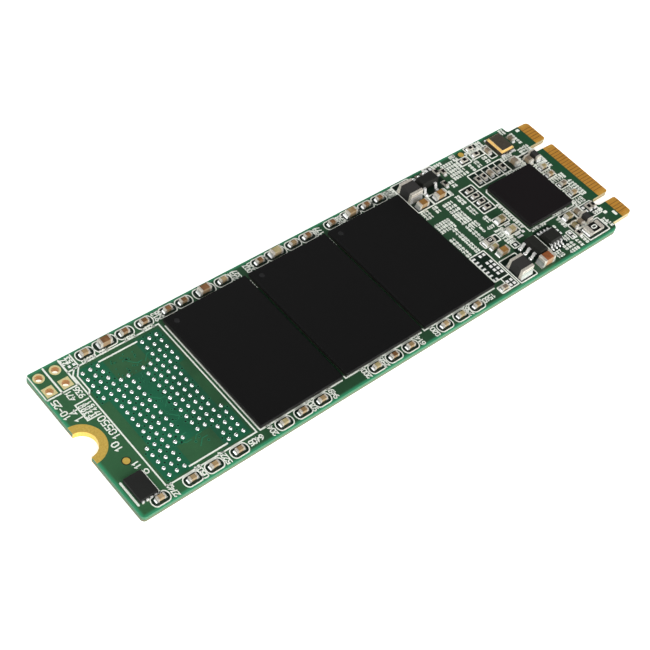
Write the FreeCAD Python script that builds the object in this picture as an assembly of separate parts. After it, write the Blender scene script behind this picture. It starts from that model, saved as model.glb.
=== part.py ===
import FreeCAD, Part
import math
import os
from FreeCAD import Placement, Rotation, Vector

# A double-keyed (B and M) M.2 2280 solid state drive, single sided.
# Millimetres. Origin: centre of the board's outline, on its underside.
# +X runs along the board to the edge connector, +Y to the six-finger side of the
# connector, and +Z out of the component side.

# ---- driving dimensions: the card ----
BOARD_LENGTH = 80.0
BOARD_WIDTH = 22.0
BOARD_THICKNESS = 0.8
MASK = 0.03                     # solder mask; the copper lands are as thick, so they finish flush
CORE = BOARD_THICKNESS - 2 * MASK
TOP = BOARD_THICKNESS           # the plane that parts are soldered to
BARREL_WALL = 0.05              # plating in the notch and in the header holes
END_CORNER_R = 0.5
SHOULDER_CORNER_R = {1: 0.25, -1: 0.9}     # far side and near side of the board
CONNECTOR_X = BOARD_LENGTH / 2
NOTCH_END_X = -BOARD_LENGTH / 2

# ---- driving dimensions: the edge connector ----
TONGUE_WIDTH = 19.85
TONGUE_LENGTH = 4.0
SHOULDER_FILLET_R = 0.35
TIP_R = 0.7
KEY_WIDTH = 1.2
KEY_DEPTH = 3.5
KEY_MOUTH_R = 0.45
KEY_B_Y = 5.625
KEY_M_Y = -6.125
FINGER_PITCH = 0.5
FINGER_WIDTH = 0.39
FINGER_LENGTH = 1.95
FIRST_FINGER_Y = 9.25           # finger 1, on the component side
FINGERS = 75                    # odd numbers above, even numbers below
KEY_B_FINGERS = range(12, 20)   # left out where a key slot is cut
KEY_M_FINGERS = range(59, 67)
MASK_END_X = CONNECTOR_X - FINGER_LENGTH
TIP_BEVEL = (0.16, 0.1)         # length and depth of the bevel along the connector's front edge

# ---- driving dimensions: the mounting notch, header holes and fiducials ----
NOTCH_R = 1.75
NOTCH_PAD_R = 2.75
HEADER_X = (-38.95, -36.85)
HEADER_Y = (9.9, 7.8)           # round pads in the first row, square ones in the second
HEADER_HOLE_R = 0.45
HEADER_PAD = 1.35
FIDUCIAL_R = 0.42
FIDUCIAL_CLEARANCE = 0.12       # bare laminate round each fiducial
FIDUCIALS = [(-37.3, -4.2), (27.2, 10.2)]

# ---- driving dimensions: flash packages ----
FLASH_X = (-17.05, -4.47, 8.11)
SPARE_X = -29.63                # the footprint left empty
FLASH_Y = -0.18
FLASH_SIZE = (12.0, 18.0)
FLASH_HEIGHT = 0.8
BALL_PITCH = 1.0
BALL_R = 0.25
LAND_R = 0.24
BUMP_HEIGHT = 0.16              # solder dome on each land of the empty footprint
FLASH_STANDOFF = 0.2
FLASH_LAMINATE = 0.2
FLASH_CORNER_R = 0.1
FLASH_EDGE_R = 0.05             # round along the top edge of the mould cap
DIE_SIZE = (8.6, 14.0, 0.08)
DIE_STEP = 0.35                 # how far each stacked die is set back from the one below
DIES = 4
DIMPLE_FROM_CORNER = (1.15, 1.1)
DIMPLE_R = (0.34, 0.4)          # at the floor and at the rim
DIMPLE_DEPTH = 0.03

# ---- driving dimensions: controller ----
CONTROLLER_POS = (29.45, -0.55)
CONTROLLER_SIZE = 8.1
CONTROLLER_HEIGHT = 0.85
CONTROLLER_CHAMFER = 0.16
CONTROLLER_STANDOFF = 0.15
CONTROLLER_LAMINATE = 0.15
CONTROLLER_BALL_PITCH = 0.5
CONTROLLER_BALL_R = 0.14
CONTROLLER_LAND_R = 0.12
CONTROLLER_EDGE_R = 0.06
CONTROLLER_DIE = (4.2, 4.2, 0.2)
CONTROLLER_BALLS = 15           # balls along one side
CONTROLLER_RINGS = 3            # full rows round the outside
CONTROLLER_MIDDLE = 2           # the inner block of balls reaches this many rows from its centre

# ---- chip part sizes: length, width, height, length of each metal end ----
CAP_0402 = (1.08, 0.54, 0.52, 0.22)
CAP_0504 = (1.3, 0.74, 0.7, 0.26)
CAP_0603 = (1.6, 0.84, 0.8, 0.3)
CAP_0805 = (2.1, 1.2, 1.2, 0.42)
RES_0402 = (1.0, 0.5, 0.36, 0.24)
RES_0603 = (1.6, 0.8, 0.45, 0.4)
RES_1008 = (2.7, 1.4, 0.5, 0.72)
BEAD_0603 = (1.6, 0.85, 0.8, 0.3)
INDUCTOR_2520 = (2.5, 2.05, 1.5, 0.42)
COIL_R, COIL_WIRE_R = 0.62, 0.24
SOLDER = 0.03                   # solder under each metal end
TOE = 0.18                      # how far the solder fillet runs out past the part
SOLDER_CLIMB = 0.62             # how far it climbs the metal end, as a share of the part's height
LAND_PAST_TOE = 0.05            # how far a land shows past its solder
COAT_PROUD = 0.02               # height of a resistor's glass coat above its metal ends
PLATING = 0.02                  # thickness of a metal end
END_EDGE_R = 0.09               # most that the edges of an end face are rounded
ALONG_X, ALONG_Y = 0, 90        # which way a part lies

# ---- placement lists: (x, y, direction) of each part's centre ----
FAR_ROW_Y = 9.98
NEAR_ROW_Y = -10.02
FAR_SMALL = [(x, FAR_ROW_Y, ALONG_X) for x in (
    -32.9, -27.5, -24.8, -21.45, -19.15, -13.3, -7.75, -2.43, -0.1, 3.95, 9.73, 12.0)]
FAR_LARGE = [(x, FAR_ROW_Y, ALONG_X) for x in (-30.2, -16.15, -5.2, 7.1)]
NEAR_SMALL = [(x, NEAR_ROW_Y, ALONG_X) for x in (
    -37.1, -32.9, -30.0, -26.6, -20.25, -17.55, -14.7, -6.35, -3.6, -0.95, 4.8, 7.55, 10.3)]
POWER_CAPS = [(16.05, 6.06, ALONG_X), (19.2, 6.08, ALONG_X), (19.3, -5.6, ALONG_X)]
TALL_CAP = [(23.0, -9.72, ALONG_X)]
CORE_CAPS_0504 = [
    (23.1, -1.45, ALONG_X), (23.0, -3.5, ALONG_X), (32.4, 5.15, ALONG_Y),
    (34.35, 4.35, ALONG_Y), (31.3, -6.0, ALONG_X)]
CORE_CAPS_0402 = [
    (18.95, -4.4, ALONG_X), (28.0, 5.4, ALONG_Y), (30.75, 8.65, ALONG_Y), (35.3, 8.65, ALONG_Y),
    (35.3, 2.35, ALONG_X), (35.1, 0.85, ALONG_X), (35.3, -1.35, ALONG_X), (35.3, -3.3, ALONG_X),
    (33.05, -6.0, ALONG_Y), (30.95, -7.5, ALONG_Y), (32.1, -7.5, ALONG_Y), (15.2, -9.95, ALONG_X)]
RESISTORS_0402 = [(x, 5.4, ALONG_Y) for x in (25.75, 26.8, 29.2, 30.35)]
RESISTORS_0402 += [(23.25, y, ALONG_X) for y in (4.55, 3.45, 2.32, 1.22)]
RESISTORS_0402 += [(28.95, 10.3, ALONG_X), (28.9, 9.05, ALONG_X), (26.65, 9.05, ALONG_X)]
RESISTORS_0402 += [(22.6, 9.0, ALONG_Y), (21.75, 9.5, ALONG_Y), (21.3, 7.25, ALONG_Y)]
RESISTORS_0402 += [(35.1, -6.25, ALONG_Y), (35.9, -6.25, ALONG_Y), (30.4, -8.75, ALONG_Y)]
LINKS_0603 = [(19.1, -3.35, ALONG_X)]
LINKS_1008 = [(32.7, -9.3, ALONG_X)]
BEADS = [(35.65, 4.45, ALONG_Y), (33.2, -7.5, ALONG_Y)]
INDUCTORS = [(15.92, 8.42, ALONG_Y), (19.0, -8.85, ALONG_Y)]

# ---- small-outline packages ----
REGULATOR_A_POS = (19.05, 8.65)
REGULATOR_B_POS = (23.15, -7.55)
LEAD_PITCH = 0.95
SOT_BODY = (2.9, 1.6, 1.4)
SOT_SPAN = 3.1
BODY_LEAN = 0.13                # how far a moulded side leans in, from the leads to the top
BODY_GAP = 0.08                 # between a moulded body and the board
BODY_EDGE_R = 0.05
SWITCH_POS = (26.45, -7.35)
SWITCH_BODY = (2.3, 1.9, 0.95)
SWITCH_SPAN = 3.1
SWITCH_PITCH = 0.6
ROM_POS = (-38.05, -7.76)
ROM_BODY = (2.25, 3.15, 0.62)
ROM_PITCH = 0.54
ROM_PAD = (0.28, 0.4, 0.24)
ROM_PAD_PROUD = 0.14            # how far each pad and its solder show past the body
ROM_EDGE_R = 0.04
LEAD_THICKNESS = 0.13
LEAD_SHARE = 0.42               # width of a lead, as a share of the lead pitch
LEAD_FOOT = 0.38
LEAD_SHOULDER = 0.14            # level run of a lead outside the body
LEAD_INSIDE = 0.25              # length of a lead inside the body
LEAD_BEND = (0.07, 0.09)        # how far the outer side of each bend lies past its inner side
LAND_SHARE = 0.52               # width of a lead's land, as a share of the lead pitch
LEAD_LAND_LENGTH = 0.72

# ---- crystal ----
CRYSTAL_POS = (33.0, 8.55)
CRYSTAL_SIZE = (2.5, 3.2)
CRYSTAL_BASE_HEIGHT = 0.48
CRYSTAL_RING = 0.04
CRYSTAL_LID = (2.0, 2.75, 0.3)
CRYSTAL_CORNER_R = 0.15
RING_INSET = 0.04
LID_EDGE_R = (0.1, 0.04)        # upright corners and top edge
CRYSTAL_WALL = 0.25             # from the edge of the lid to the hollow inside
CRYSTAL_FLOOR = 0.15
SHELF_SIZE = (0.3, 0.1)         # width and height of the ledge under the quartz
QUARTZ_THICKNESS = 0.08
QUARTZ_GAP = 0.1                # between the quartz and the hollow's sides
CRYSTAL_LAND = (0.75, 0.95)
CRYSTAL_SOLDER = (0.7, 0.75, 0.3)
CRYSTAL_SOLDER_INSET = (0.4, 0.12)

# ---- bare lands with tinned tops: (x, y, length, width) ----
PROGRAM_PAD_ROWS = (-4.45, -5.75, -6.4, -7.05, -7.7, -9.35, -9.95)
BARE_LANDS = [(x, y, 0.4, 0.4) for x in (16.35, 17.0) for y in PROGRAM_PAD_ROWS]
BARE_LANDS += [(x, -8.3, 0.32, 0.4) for x in (15.0, 15.55)]
BARE_LANDS += [(15.2, -4.4 - 0.63 * k, 0.62, 0.28) for k in range(6)]
BARE_LANDS += [(x, 10.45, 0.4, 0.45) for x in (20.9, 21.6)]
BARE_LANDS += [(23.4, y, 0.95, 0.3) for y in (-2.4, -4.35, -4.85)]
BARE_LANDS += [(34.45, y, 0.42, 0.4) for y in (-5.9, -6.55)]
BARE_LANDS += [(29.5, y, 0.4, 0.42) for y in (-8.05, -8.7)]
BARE_LANDS += [(28.45, y, 0.35, 0.35) for y in (-6.75, -7.35)]
BARE_LANDS += [(24.35, -4.4, 0.4, 0.4), (21.75, -5.5, 0.4, 0.4)]
BARE_LANDS += [(x, 9.42, 0.32, 0.32) for x in (-35.3, -34.7)]
TINNING = 0.06


# ---- shapes used throughout ----
def block(x, y, z, length, width, height):
    """A box centred on x and y, standing on z."""
    return Part.makeBox(length, width, height, Vector(x - length / 2, y - width / 2, z))


def bend(*point):
    """Marks a point that the side between its two neighbours bends through, as an arc."""
    return {"via": point}


def outline(points):
    """A closed wire through the points, with an arc wherever a bend stands between two of them."""
    corners, bends = [], {}
    for p in points:
        if isinstance(p, dict):
            bends[len(corners) - 1] = p["via"]
        else:
            corners.append(p)
    edges = []
    for i, start in enumerate(corners):
        end = corners[(i + 1) % len(corners)]
        if i in bends:
            edges.append(Part.Arc(Vector(*start), Vector(*bends[i]), Vector(*end)).toShape())
        else:
            edges.append(Part.LineSegment(Vector(*start), Vector(*end)).toShape())
    return Part.Wire(edges)


def slab(points, thickness):
    """A plate of that outline, which lies in one plane of z, extruded up."""
    return Part.Face(outline(points)).extrude(Vector(0, 0, thickness))


def profile_along_y(points, width):
    """A profile drawn in x and z, extruded along y and centred on y 0."""
    y = -width / 2
    raised = []
    for p in points:
        if isinstance(p, dict):
            raised.append(bend(p["via"][0], y, p["via"][1]))
        else:
            raised.append((p[0], y, p[1]))
    return Part.Face(outline(raised)).extrude(Vector(0, width, 0))


def placed(shape, x, y, z, turn):
    moved = shape.copy()
    moved.Placement = Placement(Vector(x, y, z), Rotation(Vector(0, 0, 1), turn))
    return moved


def at_each(shape, places, z):
    """A copy of the shape at every (x, y, direction)."""
    return [placed(shape, x, y, z, turn) for x, y, turn in places]


def rounded(shape, radius, chosen=lambda edge: True):
    return shape.makeFillet(radius, [e for e in shape.Edges if chosen(e)])


def is_upright(edge):
    a, b = edge.Vertexes[0].Point, edge.Vertexes[-1].Point
    return abs(a.x - b.x) < 1e-6 and abs(a.y - b.y) < 1e-6


def at_height(z):
    return lambda edge: all(abs(v.Point.z - z) < 1e-6 for v in edge.Vertexes)


def frustum(size_low, size_high, z, height):
    """A block whose sides lean in: a rectangle at z lofted to another above it."""
    def rectangle(size, level):
        a, b = size[0] / 2, size[1] / 2
        return outline([(-a, -b, level), (a, -b, level), (a, b, level), (-a, b, level)])
    return Part.makeLoft([rectangle(size_low, z), rectangle(size_high, z + height)], True, True)


def save(name, solids):
    """Writes one node: a single solid, or a group of separate ones."""
    flat = [s for shape in solids for s in shape.Solids]
    shape = flat[0] if len(flat) == 1 else Part.makeCompound(flat)
    shape.exportStep("parts/" + name + ".step")
    return shape


# ---- the card ----
def arc_corner(corner, before, after, radius):
    """Three points that round a square corner: where the arc starts, its middle, and where it ends."""
    corner, before, after = Vector(*corner), Vector(*before), Vector(*after)
    inward, outward = (before - corner).normalize(), (after - corner).normalize()
    start, end = corner + inward * radius, corner + outward * radius
    middle = corner + (inward + outward) * (radius * (1 - math.sqrt(0.5)))
    return [tuple(start), bend(*middle), tuple(end)]


def board_blank(z, thickness):
    """The board's outline with its round corners, shoulders, tongue, key slots and mounting notch."""
    half, tongue = BOARD_WIDTH / 2, TONGUE_WIDTH / 2
    shoulder_x = CONNECTOR_X - TONGUE_LENGTH

    def side(s):
        """The points of one long side, on the side of y whose sign is s, from the notch end onwards."""
        end_corner, shoulder = (NOTCH_END_X, s * half, z), (shoulder_x, s * half, z)
        root, tip = (shoulder_x, s * tongue, z), (CONNECTOR_X, s * tongue, z)
        points = arc_corner(end_corner, (NOTCH_END_X, 0, z), shoulder, END_CORNER_R)
        points += arc_corner(shoulder, end_corner, root, SHOULDER_CORNER_R[s])
        if SHOULDER_CORNER_R[s] + SHOULDER_FILLET_R < half - tongue:
            points += arc_corner(root, shoulder, tip, SHOULDER_FILLET_R)
        else:
            points += arc_corner(root, shoulder, tip, half - tongue - SHOULDER_CORNER_R[s])[1:]
        return points + arc_corner(tip, root, (CONNECTOR_X, 0, z), TIP_R)

    blank = slab(side(-1) + side(1)[::-1], thickness)
    cuts = [Part.makeCylinder(NOTCH_R, thickness, Vector(NOTCH_END_X, 0, z))]
    cuts += [key_slot(y, z, thickness) for y in (KEY_B_Y, KEY_M_Y)]
    return blank.cut(cuts)


def key_slot(y, z, thickness):
    """The cutter for one key slot: a round inner end, straight sides, and a mouth flared by two arcs."""
    half, mouth = KEY_WIDTH / 2, KEY_MOUTH_R
    inner_x, slack = CONNECTOR_X - KEY_DEPTH + half, 0.2
    flare_x, flare = CONNECTOR_X - mouth, mouth * (1 - math.sqrt(0.5))
    points = [
        (inner_x, y - half, z), (flare_x, y - half, z), bend(CONNECTOR_X - flare, y - half - flare, z),
        (CONNECTOR_X, y - half - mouth, z), (CONNECTOR_X + slack, y - half - mouth, z),
        (CONNECTOR_X + slack, y + half + mouth, z), (CONNECTOR_X, y + half + mouth, z),
        bend(CONNECTOR_X - flare, y + half + flare, z), (flare_x, y + half, z),
        (inner_x, y + half, z), bend(inner_x - half, y, z)]
    return slab(points, thickness)


def header_places():
    return [(x, y, row) for row, y in enumerate(HEADER_Y) for x in HEADER_X]


def header_pad(x, y, row, z, thickness):
    if row == 0:
        return Part.makeCylinder(HEADER_PAD / 2, thickness, Vector(x, y, z))
    return block(x, y, z, HEADER_PAD, HEADER_PAD, thickness)


def notch_disc(radius, z, thickness):
    """The half disc round the mounting notch, kept inside the board's end."""
    disc = Part.makeCylinder(radius, thickness, Vector(NOTCH_END_X, 0, z))
    return disc.common(Part.makeBox(2 * radius, 2 * radius, thickness, Vector(NOTCH_END_X, -radius, z)))


def finger_places(numbers):
    """y of each contact finger in a row of odd or even numbers, with the key positions left out."""
    left_out = set(KEY_B_FINGERS) | set(KEY_M_FINGERS)
    return [FIRST_FINGER_Y - FINGER_PITCH * (n - 1) / 2 for n in numbers if n not in left_out]


def fingers(numbers, z):
    x = CONNECTOR_X - FINGER_LENGTH / 2
    return [block(x, y, z, FINGER_LENGTH, FINGER_WIDTH, MASK) for y in finger_places(numbers)]


def ball_grid():
    """The 132-ball pattern of a flash package, from its centre: two wide bands, with wings at both ends."""
    places = []
    for column in range(11):
        for row in range(17):
            from_middle, from_centre = abs(column - 5), abs(row - 8)
            wing = from_middle >= 3 and from_centre >= 6
            band = 1 <= from_middle <= 4 and from_centre <= 5
            outer = from_middle == 5 and from_centre >= 4
            if wing or band or outer:
                places.append(((column - 5) * BALL_PITCH, (row - 8) * BALL_PITCH))
    return places


def chip_lands(size, places):
    """The two lands under each chip part, as boxes in the mask's layer."""
    length, width, _, end = size
    past = TOE + LAND_PAST_TOE
    reach = end + past
    lands = []
    for x, y, turn in places:
        for sign in (-1, 1):
            land = block(sign * (length / 2 + past - reach / 2), 0, 0, reach, width, MASK)
            lands.append(placed(land, x, y, TOP - MASK, turn))
    return lands


def all_chip_parts():
    return [
        (CAP_0402, FAR_SMALL), (CAP_0603, FAR_LARGE), (CAP_0402, NEAR_SMALL), (CAP_0603, POWER_CAPS),
        (CAP_0805, TALL_CAP), (CAP_0504, CORE_CAPS_0504), (CAP_0402, CORE_CAPS_0402),
        (RES_0402, RESISTORS_0402), (RES_0603, LINKS_0603), (RES_1008, LINKS_1008),
        (BEAD_0603, BEADS), (INDUCTOR_2520, INDUCTORS)]


def lead_lands():
    """Lands under the leads of the small-outline packages and the crystal's corners."""
    lands = []
    for pos, turn, span, pitch, rows in package_leads():
        for side, offsets in rows:
            for offset in offsets:
                land = block(offset, side * span / 2, 0, pitch * LAND_SHARE, LEAD_LAND_LENGTH, MASK)
                lands.append(placed(land, pos[0], pos[1], TOP - MASK, turn))
    for x, y in rom_pad_places():
        lands.append(block(x, y, TOP - MASK, ROM_PAD[0], ROM_PAD[1] + 2 * LAND_PAST_TOE, MASK))
    inset_x, inset_y = CRYSTAL_LAND[0] / 2, CRYSTAL_LAND[1] / 3
    for sx, sy in four_corners():
        x = CRYSTAL_POS[0] + sx * (CRYSTAL_SIZE[0] / 2 - inset_x)
        y = CRYSTAL_POS[1] + sy * (CRYSTAL_SIZE[1] / 2 - inset_y)
        lands.append(block(x, y, TOP - MASK, CRYSTAL_LAND[0], CRYSTAL_LAND[1], MASK))
    return lands


def four_corners():
    return [(sx, sy) for sx in (-1, 1) for sy in (-1, 1)]


def package_leads():
    """Each leaded package: centre, turn, lead span, pitch, and (side, lead offsets) for both sides."""
    three = [-LEAD_PITCH, 0, LEAD_PITCH]
    four = [SWITCH_PITCH * (k - 1.5) for k in range(4)]
    return [
        (REGULATOR_A_POS, 0, SOT_SPAN, LEAD_PITCH, [(1, three), (-1, [-LEAD_PITCH, LEAD_PITCH])]),
        (REGULATOR_B_POS, 90, SOT_SPAN, LEAD_PITCH, [(1, three), (-1, three)]),
        (SWITCH_POS, 0, SWITCH_SPAN, SWITCH_PITCH, [(1, four), (-1, four)])]


def rom_pad_places():
    """Centres of the firmware chip's pads, four along each short side."""
    reach = ROM_BODY[1] / 2 + ROM_PAD_PROUD - ROM_PAD[1] / 2
    columns = [ROM_POS[0] + ROM_PITCH * (k - 1.5) for k in range(4)]
    return [(x, ROM_POS[1] + side * reach) for side in (-1, 1) for x in columns]


def build_card():
    holes = [Part.makeCylinder(HEADER_HOLE_R + BARREL_WALL, BOARD_THICKNESS, Vector(x, y, 0))
             for x, y, _ in header_places()]
    barrel = Part.makeCylinder(NOTCH_R + BARREL_WALL, BOARD_THICKNESS, Vector(NOTCH_END_X, 0, 0))
    core = board_blank(MASK, CORE).cut(holes + [barrel])
    bevel_length, bevel_depth = TIP_BEVEL
    front_edge = (CONNECTOR_X, TOP)
    tip_bevel = profile_along_y(
        [(CONNECTOR_X - bevel_length, TOP), front_edge, (CONNECTOR_X, TOP - bevel_depth)], BOARD_WIDTH)
    lower_bevel = tip_bevel.mirror(Vector(0, 0, TOP / 2), Vector(0, 0, 1))
    core = core.cut([tip_bevel, lower_bevel])
    save("printed_board_core", [core])

    top_fingers = [f.cut(tip_bevel) for f in fingers(range(1, FINGERS + 1, 2), TOP - MASK)]
    bottom_fingers = [f.cut(lower_bevel) for f in fingers(range(2, FINGERS, 2), 0)]
    save("top_contact_fingers", top_fingers)
    save("bottom_contact_fingers", bottom_fingers)

    notch_pads = [notch_disc(NOTCH_PAD_R, z, MASK) for z in (0, TOP - MASK)]
    notch_wall = notch_disc(NOTCH_R + BARREL_WALL, 0, BOARD_THICKNESS)
    bore = Part.makeCylinder(NOTCH_R, BOARD_THICKNESS, Vector(NOTCH_END_X, 0, 0))
    plating = notch_wall.fuse(notch_pads).cut(bore).removeSplitter()
    save("mounting_notch_plating", [plating])

    eyelets = []
    for x, y, row in header_places():
        sleeve = Part.makeCylinder(HEADER_HOLE_R + BARREL_WALL, BOARD_THICKNESS, Vector(x, y, 0))
        rings = [header_pad(x, y, row, z, MASK) for z in (0, TOP - MASK)]
        hole = Part.makeCylinder(HEADER_HOLE_R, BOARD_THICKNESS, Vector(x, y, 0))
        eyelets.append(sleeve.fuse(rings).cut(hole).removeSplitter())
    save("debug_header_eyelets", eyelets)
    save("fiducials", fiducial_discs(FIDUCIAL_R))

    lands = [land for size, places in all_chip_parts() for land in chip_lands(size, places)]
    lands += lead_lands()
    save("component_lands", lands)
    bare = [block(x, y, TOP - MASK, length, width, MASK + TINNING) for x, y, length, width in BARE_LANDS]
    bare = [rounded(b, TINNING * 0.8, at_height(TOP + TINNING)) for b in bare]
    save("bare_tinned_lands", bare)

    spare = Part.makeCylinder(LAND_R, MASK)
    openings = lands + bare + at_each(spare, spare_places(), TOP - MASK) + build_ball_lands()
    openings += fiducial_discs(FIDUCIAL_R + FIDUCIAL_CLEARANCE)
    both_sides = []
    for z in (0, TOP - MASK):
        both_sides.append(notch_disc(NOTCH_PAD_R, z, MASK))
        both_sides += [header_pad(x, y, row, z, MASK) for x, y, row in header_places()]
    corner = Vector(MASK_END_X, -BOARD_WIDTH / 2, 0)
    beyond_mask = Part.makeBox(TONGUE_LENGTH, BOARD_WIDTH, BOARD_THICKNESS, corner)
    both_sides.append(beyond_mask)
    save("top_solder_mask", [board_blank(TOP - MASK, MASK).cut(openings + both_sides)])
    save("bottom_solder_mask", [board_blank(0, MASK).cut(both_sides)])
    save("spare_footprint_bumps", build_spare_bumps())


def fiducial_discs(radius):
    return [Part.makeCylinder(radius, MASK, Vector(x, y, TOP - MASK)) for x, y in FIDUCIALS]


def spare_places():
    return [(SPARE_X + x, FLASH_Y + y, 0) for x, y in ball_grid()]


def build_ball_lands():
    """Copper lands under the flash and controller balls: saved as one group, and returned as openings."""
    places = [(x0 + x, FLASH_Y + y, LAND_R) for x0 in FLASH_X for x, y in ball_grid()]
    centre_x, centre_y = CONTROLLER_POS
    places += [(centre_x + x, centre_y + y, CONTROLLER_LAND_R) for x, y in controller_grid()]
    lands = [Part.makeCylinder(r, MASK, Vector(x, y, TOP - MASK)) for x, y, r in places]
    save("ball_lands", lands)
    return lands


def build_spare_bumps():
    """Each bump of the empty footprint: a land with a low dome of solder on it."""
    sphere_r = (LAND_R ** 2 + BUMP_HEIGHT ** 2) / (2 * BUMP_HEIGHT)
    dome = Part.makeSphere(sphere_r, Vector(0, 0, MASK + BUMP_HEIGHT - sphere_r))
    keep = Part.makeCylinder(2 * LAND_R, 2 * BUMP_HEIGHT, Vector(0, 0, MASK))
    bump = dome.common(keep).fuse(Part.makeCylinder(LAND_R, MASK)).removeSplitter()
    return at_each(bump, spare_places(), TOP - MASK)


# ---- ball-grid packages ----
def ball(radius, height):
    """A reflowed ball: a sphere flattened where it meets the land and the package."""
    sphere = Part.makeSphere(radius, Vector(0, 0, height / 2))
    return sphere.common(block(0, 0, 0, 4 * radius, 4 * radius, height))


def build_flash(index, x):
    name = "flash_chip_%d" % index
    length, width = FLASH_SIZE
    laminate_z = TOP + FLASH_STANDOFF
    cap_z = laminate_z + FLASH_LAMINATE
    cap_height = FLASH_HEIGHT - FLASH_STANDOFF - FLASH_LAMINATE
    laminate = rounded(block(0, 0, 0, length, width, FLASH_LAMINATE), FLASH_CORNER_R, is_upright)
    save(name + "_laminate", [placed(laminate, x, FLASH_Y, laminate_z, 0)])

    dies = []
    for k in range(DIES):
        offset = (k - (DIES - 1) / 2) * DIE_STEP
        dies.append(block(offset, 0, k * DIE_SIZE[2], *DIE_SIZE))
    dies = [placed(d, x, FLASH_Y, cap_z, 0) for d in dies]
    save(name + "_dies", dies)

    cap = rounded(block(0, 0, 0, length, width, cap_height), FLASH_CORNER_R, is_upright)
    cap = rounded(cap, FLASH_EDGE_R, at_height(cap_height))
    from_end, from_side = DIMPLE_FROM_CORNER
    dimple_at = Vector(from_end - length / 2, width / 2 - from_side, cap_height - DIMPLE_DEPTH)
    dimple = Part.makeCone(*DIMPLE_R, DIMPLE_DEPTH, dimple_at)
    cap = placed(cap.cut(dimple), x, FLASH_Y, cap_z, 0)
    save(name + "_mould_cap", [cap.cut(dies)])

    one = ball(BALL_R, FLASH_STANDOFF)
    save(name + "_solder_balls", at_each(one, [(x + a, FLASH_Y + b, 0) for a, b in ball_grid()], TOP))


def controller_grid():
    """Full rows of balls round the outside and a square block in the middle, from the package's centre."""
    places = []
    middle = (CONTROLLER_BALLS - 1) // 2
    for column in range(CONTROLLER_BALLS):
        for row in range(CONTROLLER_BALLS):
            to_edge = min(column, row, CONTROLLER_BALLS - 1 - column, CONTROLLER_BALLS - 1 - row)
            in_block = max(abs(column - middle), abs(row - middle)) <= CONTROLLER_MIDDLE
            at_corner = {column, row} <= {0, CONTROLLER_BALLS - 1}
            if (to_edge < CONTROLLER_RINGS and not at_corner) or in_block:
                places.append((column - middle, row - middle))
    return [(a * CONTROLLER_BALL_PITCH, b * CONTROLLER_BALL_PITCH) for a, b in places]


def chamfered_square(size, chamfer, z, thickness):
    a, b = size / 2, size / 2 - chamfer
    points = [(-b, -a), (b, -a), (a, -b), (a, b), (b, a), (-b, a), (-a, b), (-a, -b)]
    return slab([(x, y, z) for x, y in points], thickness)


def build_controller():
    x, y = CONTROLLER_POS
    laminate_z = TOP + CONTROLLER_STANDOFF
    cap_z = laminate_z + CONTROLLER_LAMINATE
    cap_height = CONTROLLER_HEIGHT - CONTROLLER_STANDOFF - CONTROLLER_LAMINATE
    laminate = chamfered_square(CONTROLLER_SIZE, CONTROLLER_CHAMFER, 0, CONTROLLER_LAMINATE)
    save("controller_laminate", [placed(laminate, x, y, laminate_z, 0)])
    die = block(x, y, cap_z, *CONTROLLER_DIE)
    save("controller_die", [die])
    cap = chamfered_square(CONTROLLER_SIZE, CONTROLLER_CHAMFER, 0, cap_height)
    cap = rounded(cap, CONTROLLER_EDGE_R, at_height(cap_height))
    save("controller_mould_cap", [placed(cap, x, y, cap_z, 0).cut(die)])
    one = ball(CONTROLLER_BALL_R, CONTROLLER_STANDOFF)
    save("controller_solder_balls", at_each(one, [(x + a, y + b, 0) for a, b in controller_grid()], TOP))


# ---- chip capacitors, resistors and inductors ----
def soft_ended(length, width, height, z, radius):
    """A block lying along x with the edges of its two end faces rounded."""
    whole = block(0, 0, z, length, width, height)
    return rounded(whole, radius, lambda edge: abs(edge.CenterOfMass.x) > length / 2 - 0.001)


def end_radius(size):
    return min(END_EDGE_R, size[3] / 4, size[2] / 5)


def chip_body(size):
    """The ceramic or ferrite block, its ends rounded to fit inside the metal ends."""
    length, width, height, _ = size
    inset = 2 * PLATING
    return soft_ended(length - inset, width - inset, height - inset, PLATING, end_radius(size) - PLATING)


def metal_end(size, sign):
    """One metal end: a thin cup over the end of the body."""
    length, width, height, end = size
    cup = soft_ended(length, width, height, 0, end_radius(size)).cut(chip_body(size))
    return cup.common(block(sign * (length / 2 - end / 2), 0, 0, end, width, height))


def solder_joint(size, sign):
    """Solder under one metal end, running up its face in a concave fillet that leaves the face upright."""
    length, width, height, end = size
    face, rise = length / 2, SOLDER_CLIMB * height
    radius = (TOE ** 2 + rise ** 2) / (2 * TOE)
    half_turn = math.atan2(rise, radius - TOE) / 2
    middle = bend(face + radius * (1 - math.cos(half_turn)), SOLDER + rise - radius * math.sin(half_turn))
    joint = profile_along_y([
        (face - end, 0), (face + TOE, 0), (face + TOE, SOLDER), middle,
        (face, SOLDER + rise), (face, SOLDER), (face - end, SOLDER)], width)
    return joint if sign > 0 else joint.mirror(Vector(0, 0, 0), Vector(1, 0, 0))


def build_chip_group(name, groups, solder):
    """Bodies and metal ends of one kind of part, from (size, places) pairs; adds its joints to solder."""
    bodies, ends = [], []
    for size, places in groups:
        bodies += at_each(chip_body(size), places, TOP + SOLDER)
        for sign in (-1, 1):
            ends += at_each(metal_end(size, sign), places, TOP + SOLDER)
            solder += at_each(solder_joint(size, sign), places, TOP)
    save(name + "_bodies", bodies)
    save(name + "_metal_ends", ends)


def build_resistor_coats(groups):
    """The glass coat on top of each resistor, between its metal ends."""
    coats = []
    for size, places in groups:
        length, width, height, end = size
        bare_length, bare_width = length - 2 * end, width - 2 * PLATING
        coat = block(0, 0, height - PLATING, bare_length, bare_width, PLATING + COAT_PROUD)
        coats += at_each(coat, places, TOP + SOLDER)
    save("resistor_glass_coats", coats)


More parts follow.
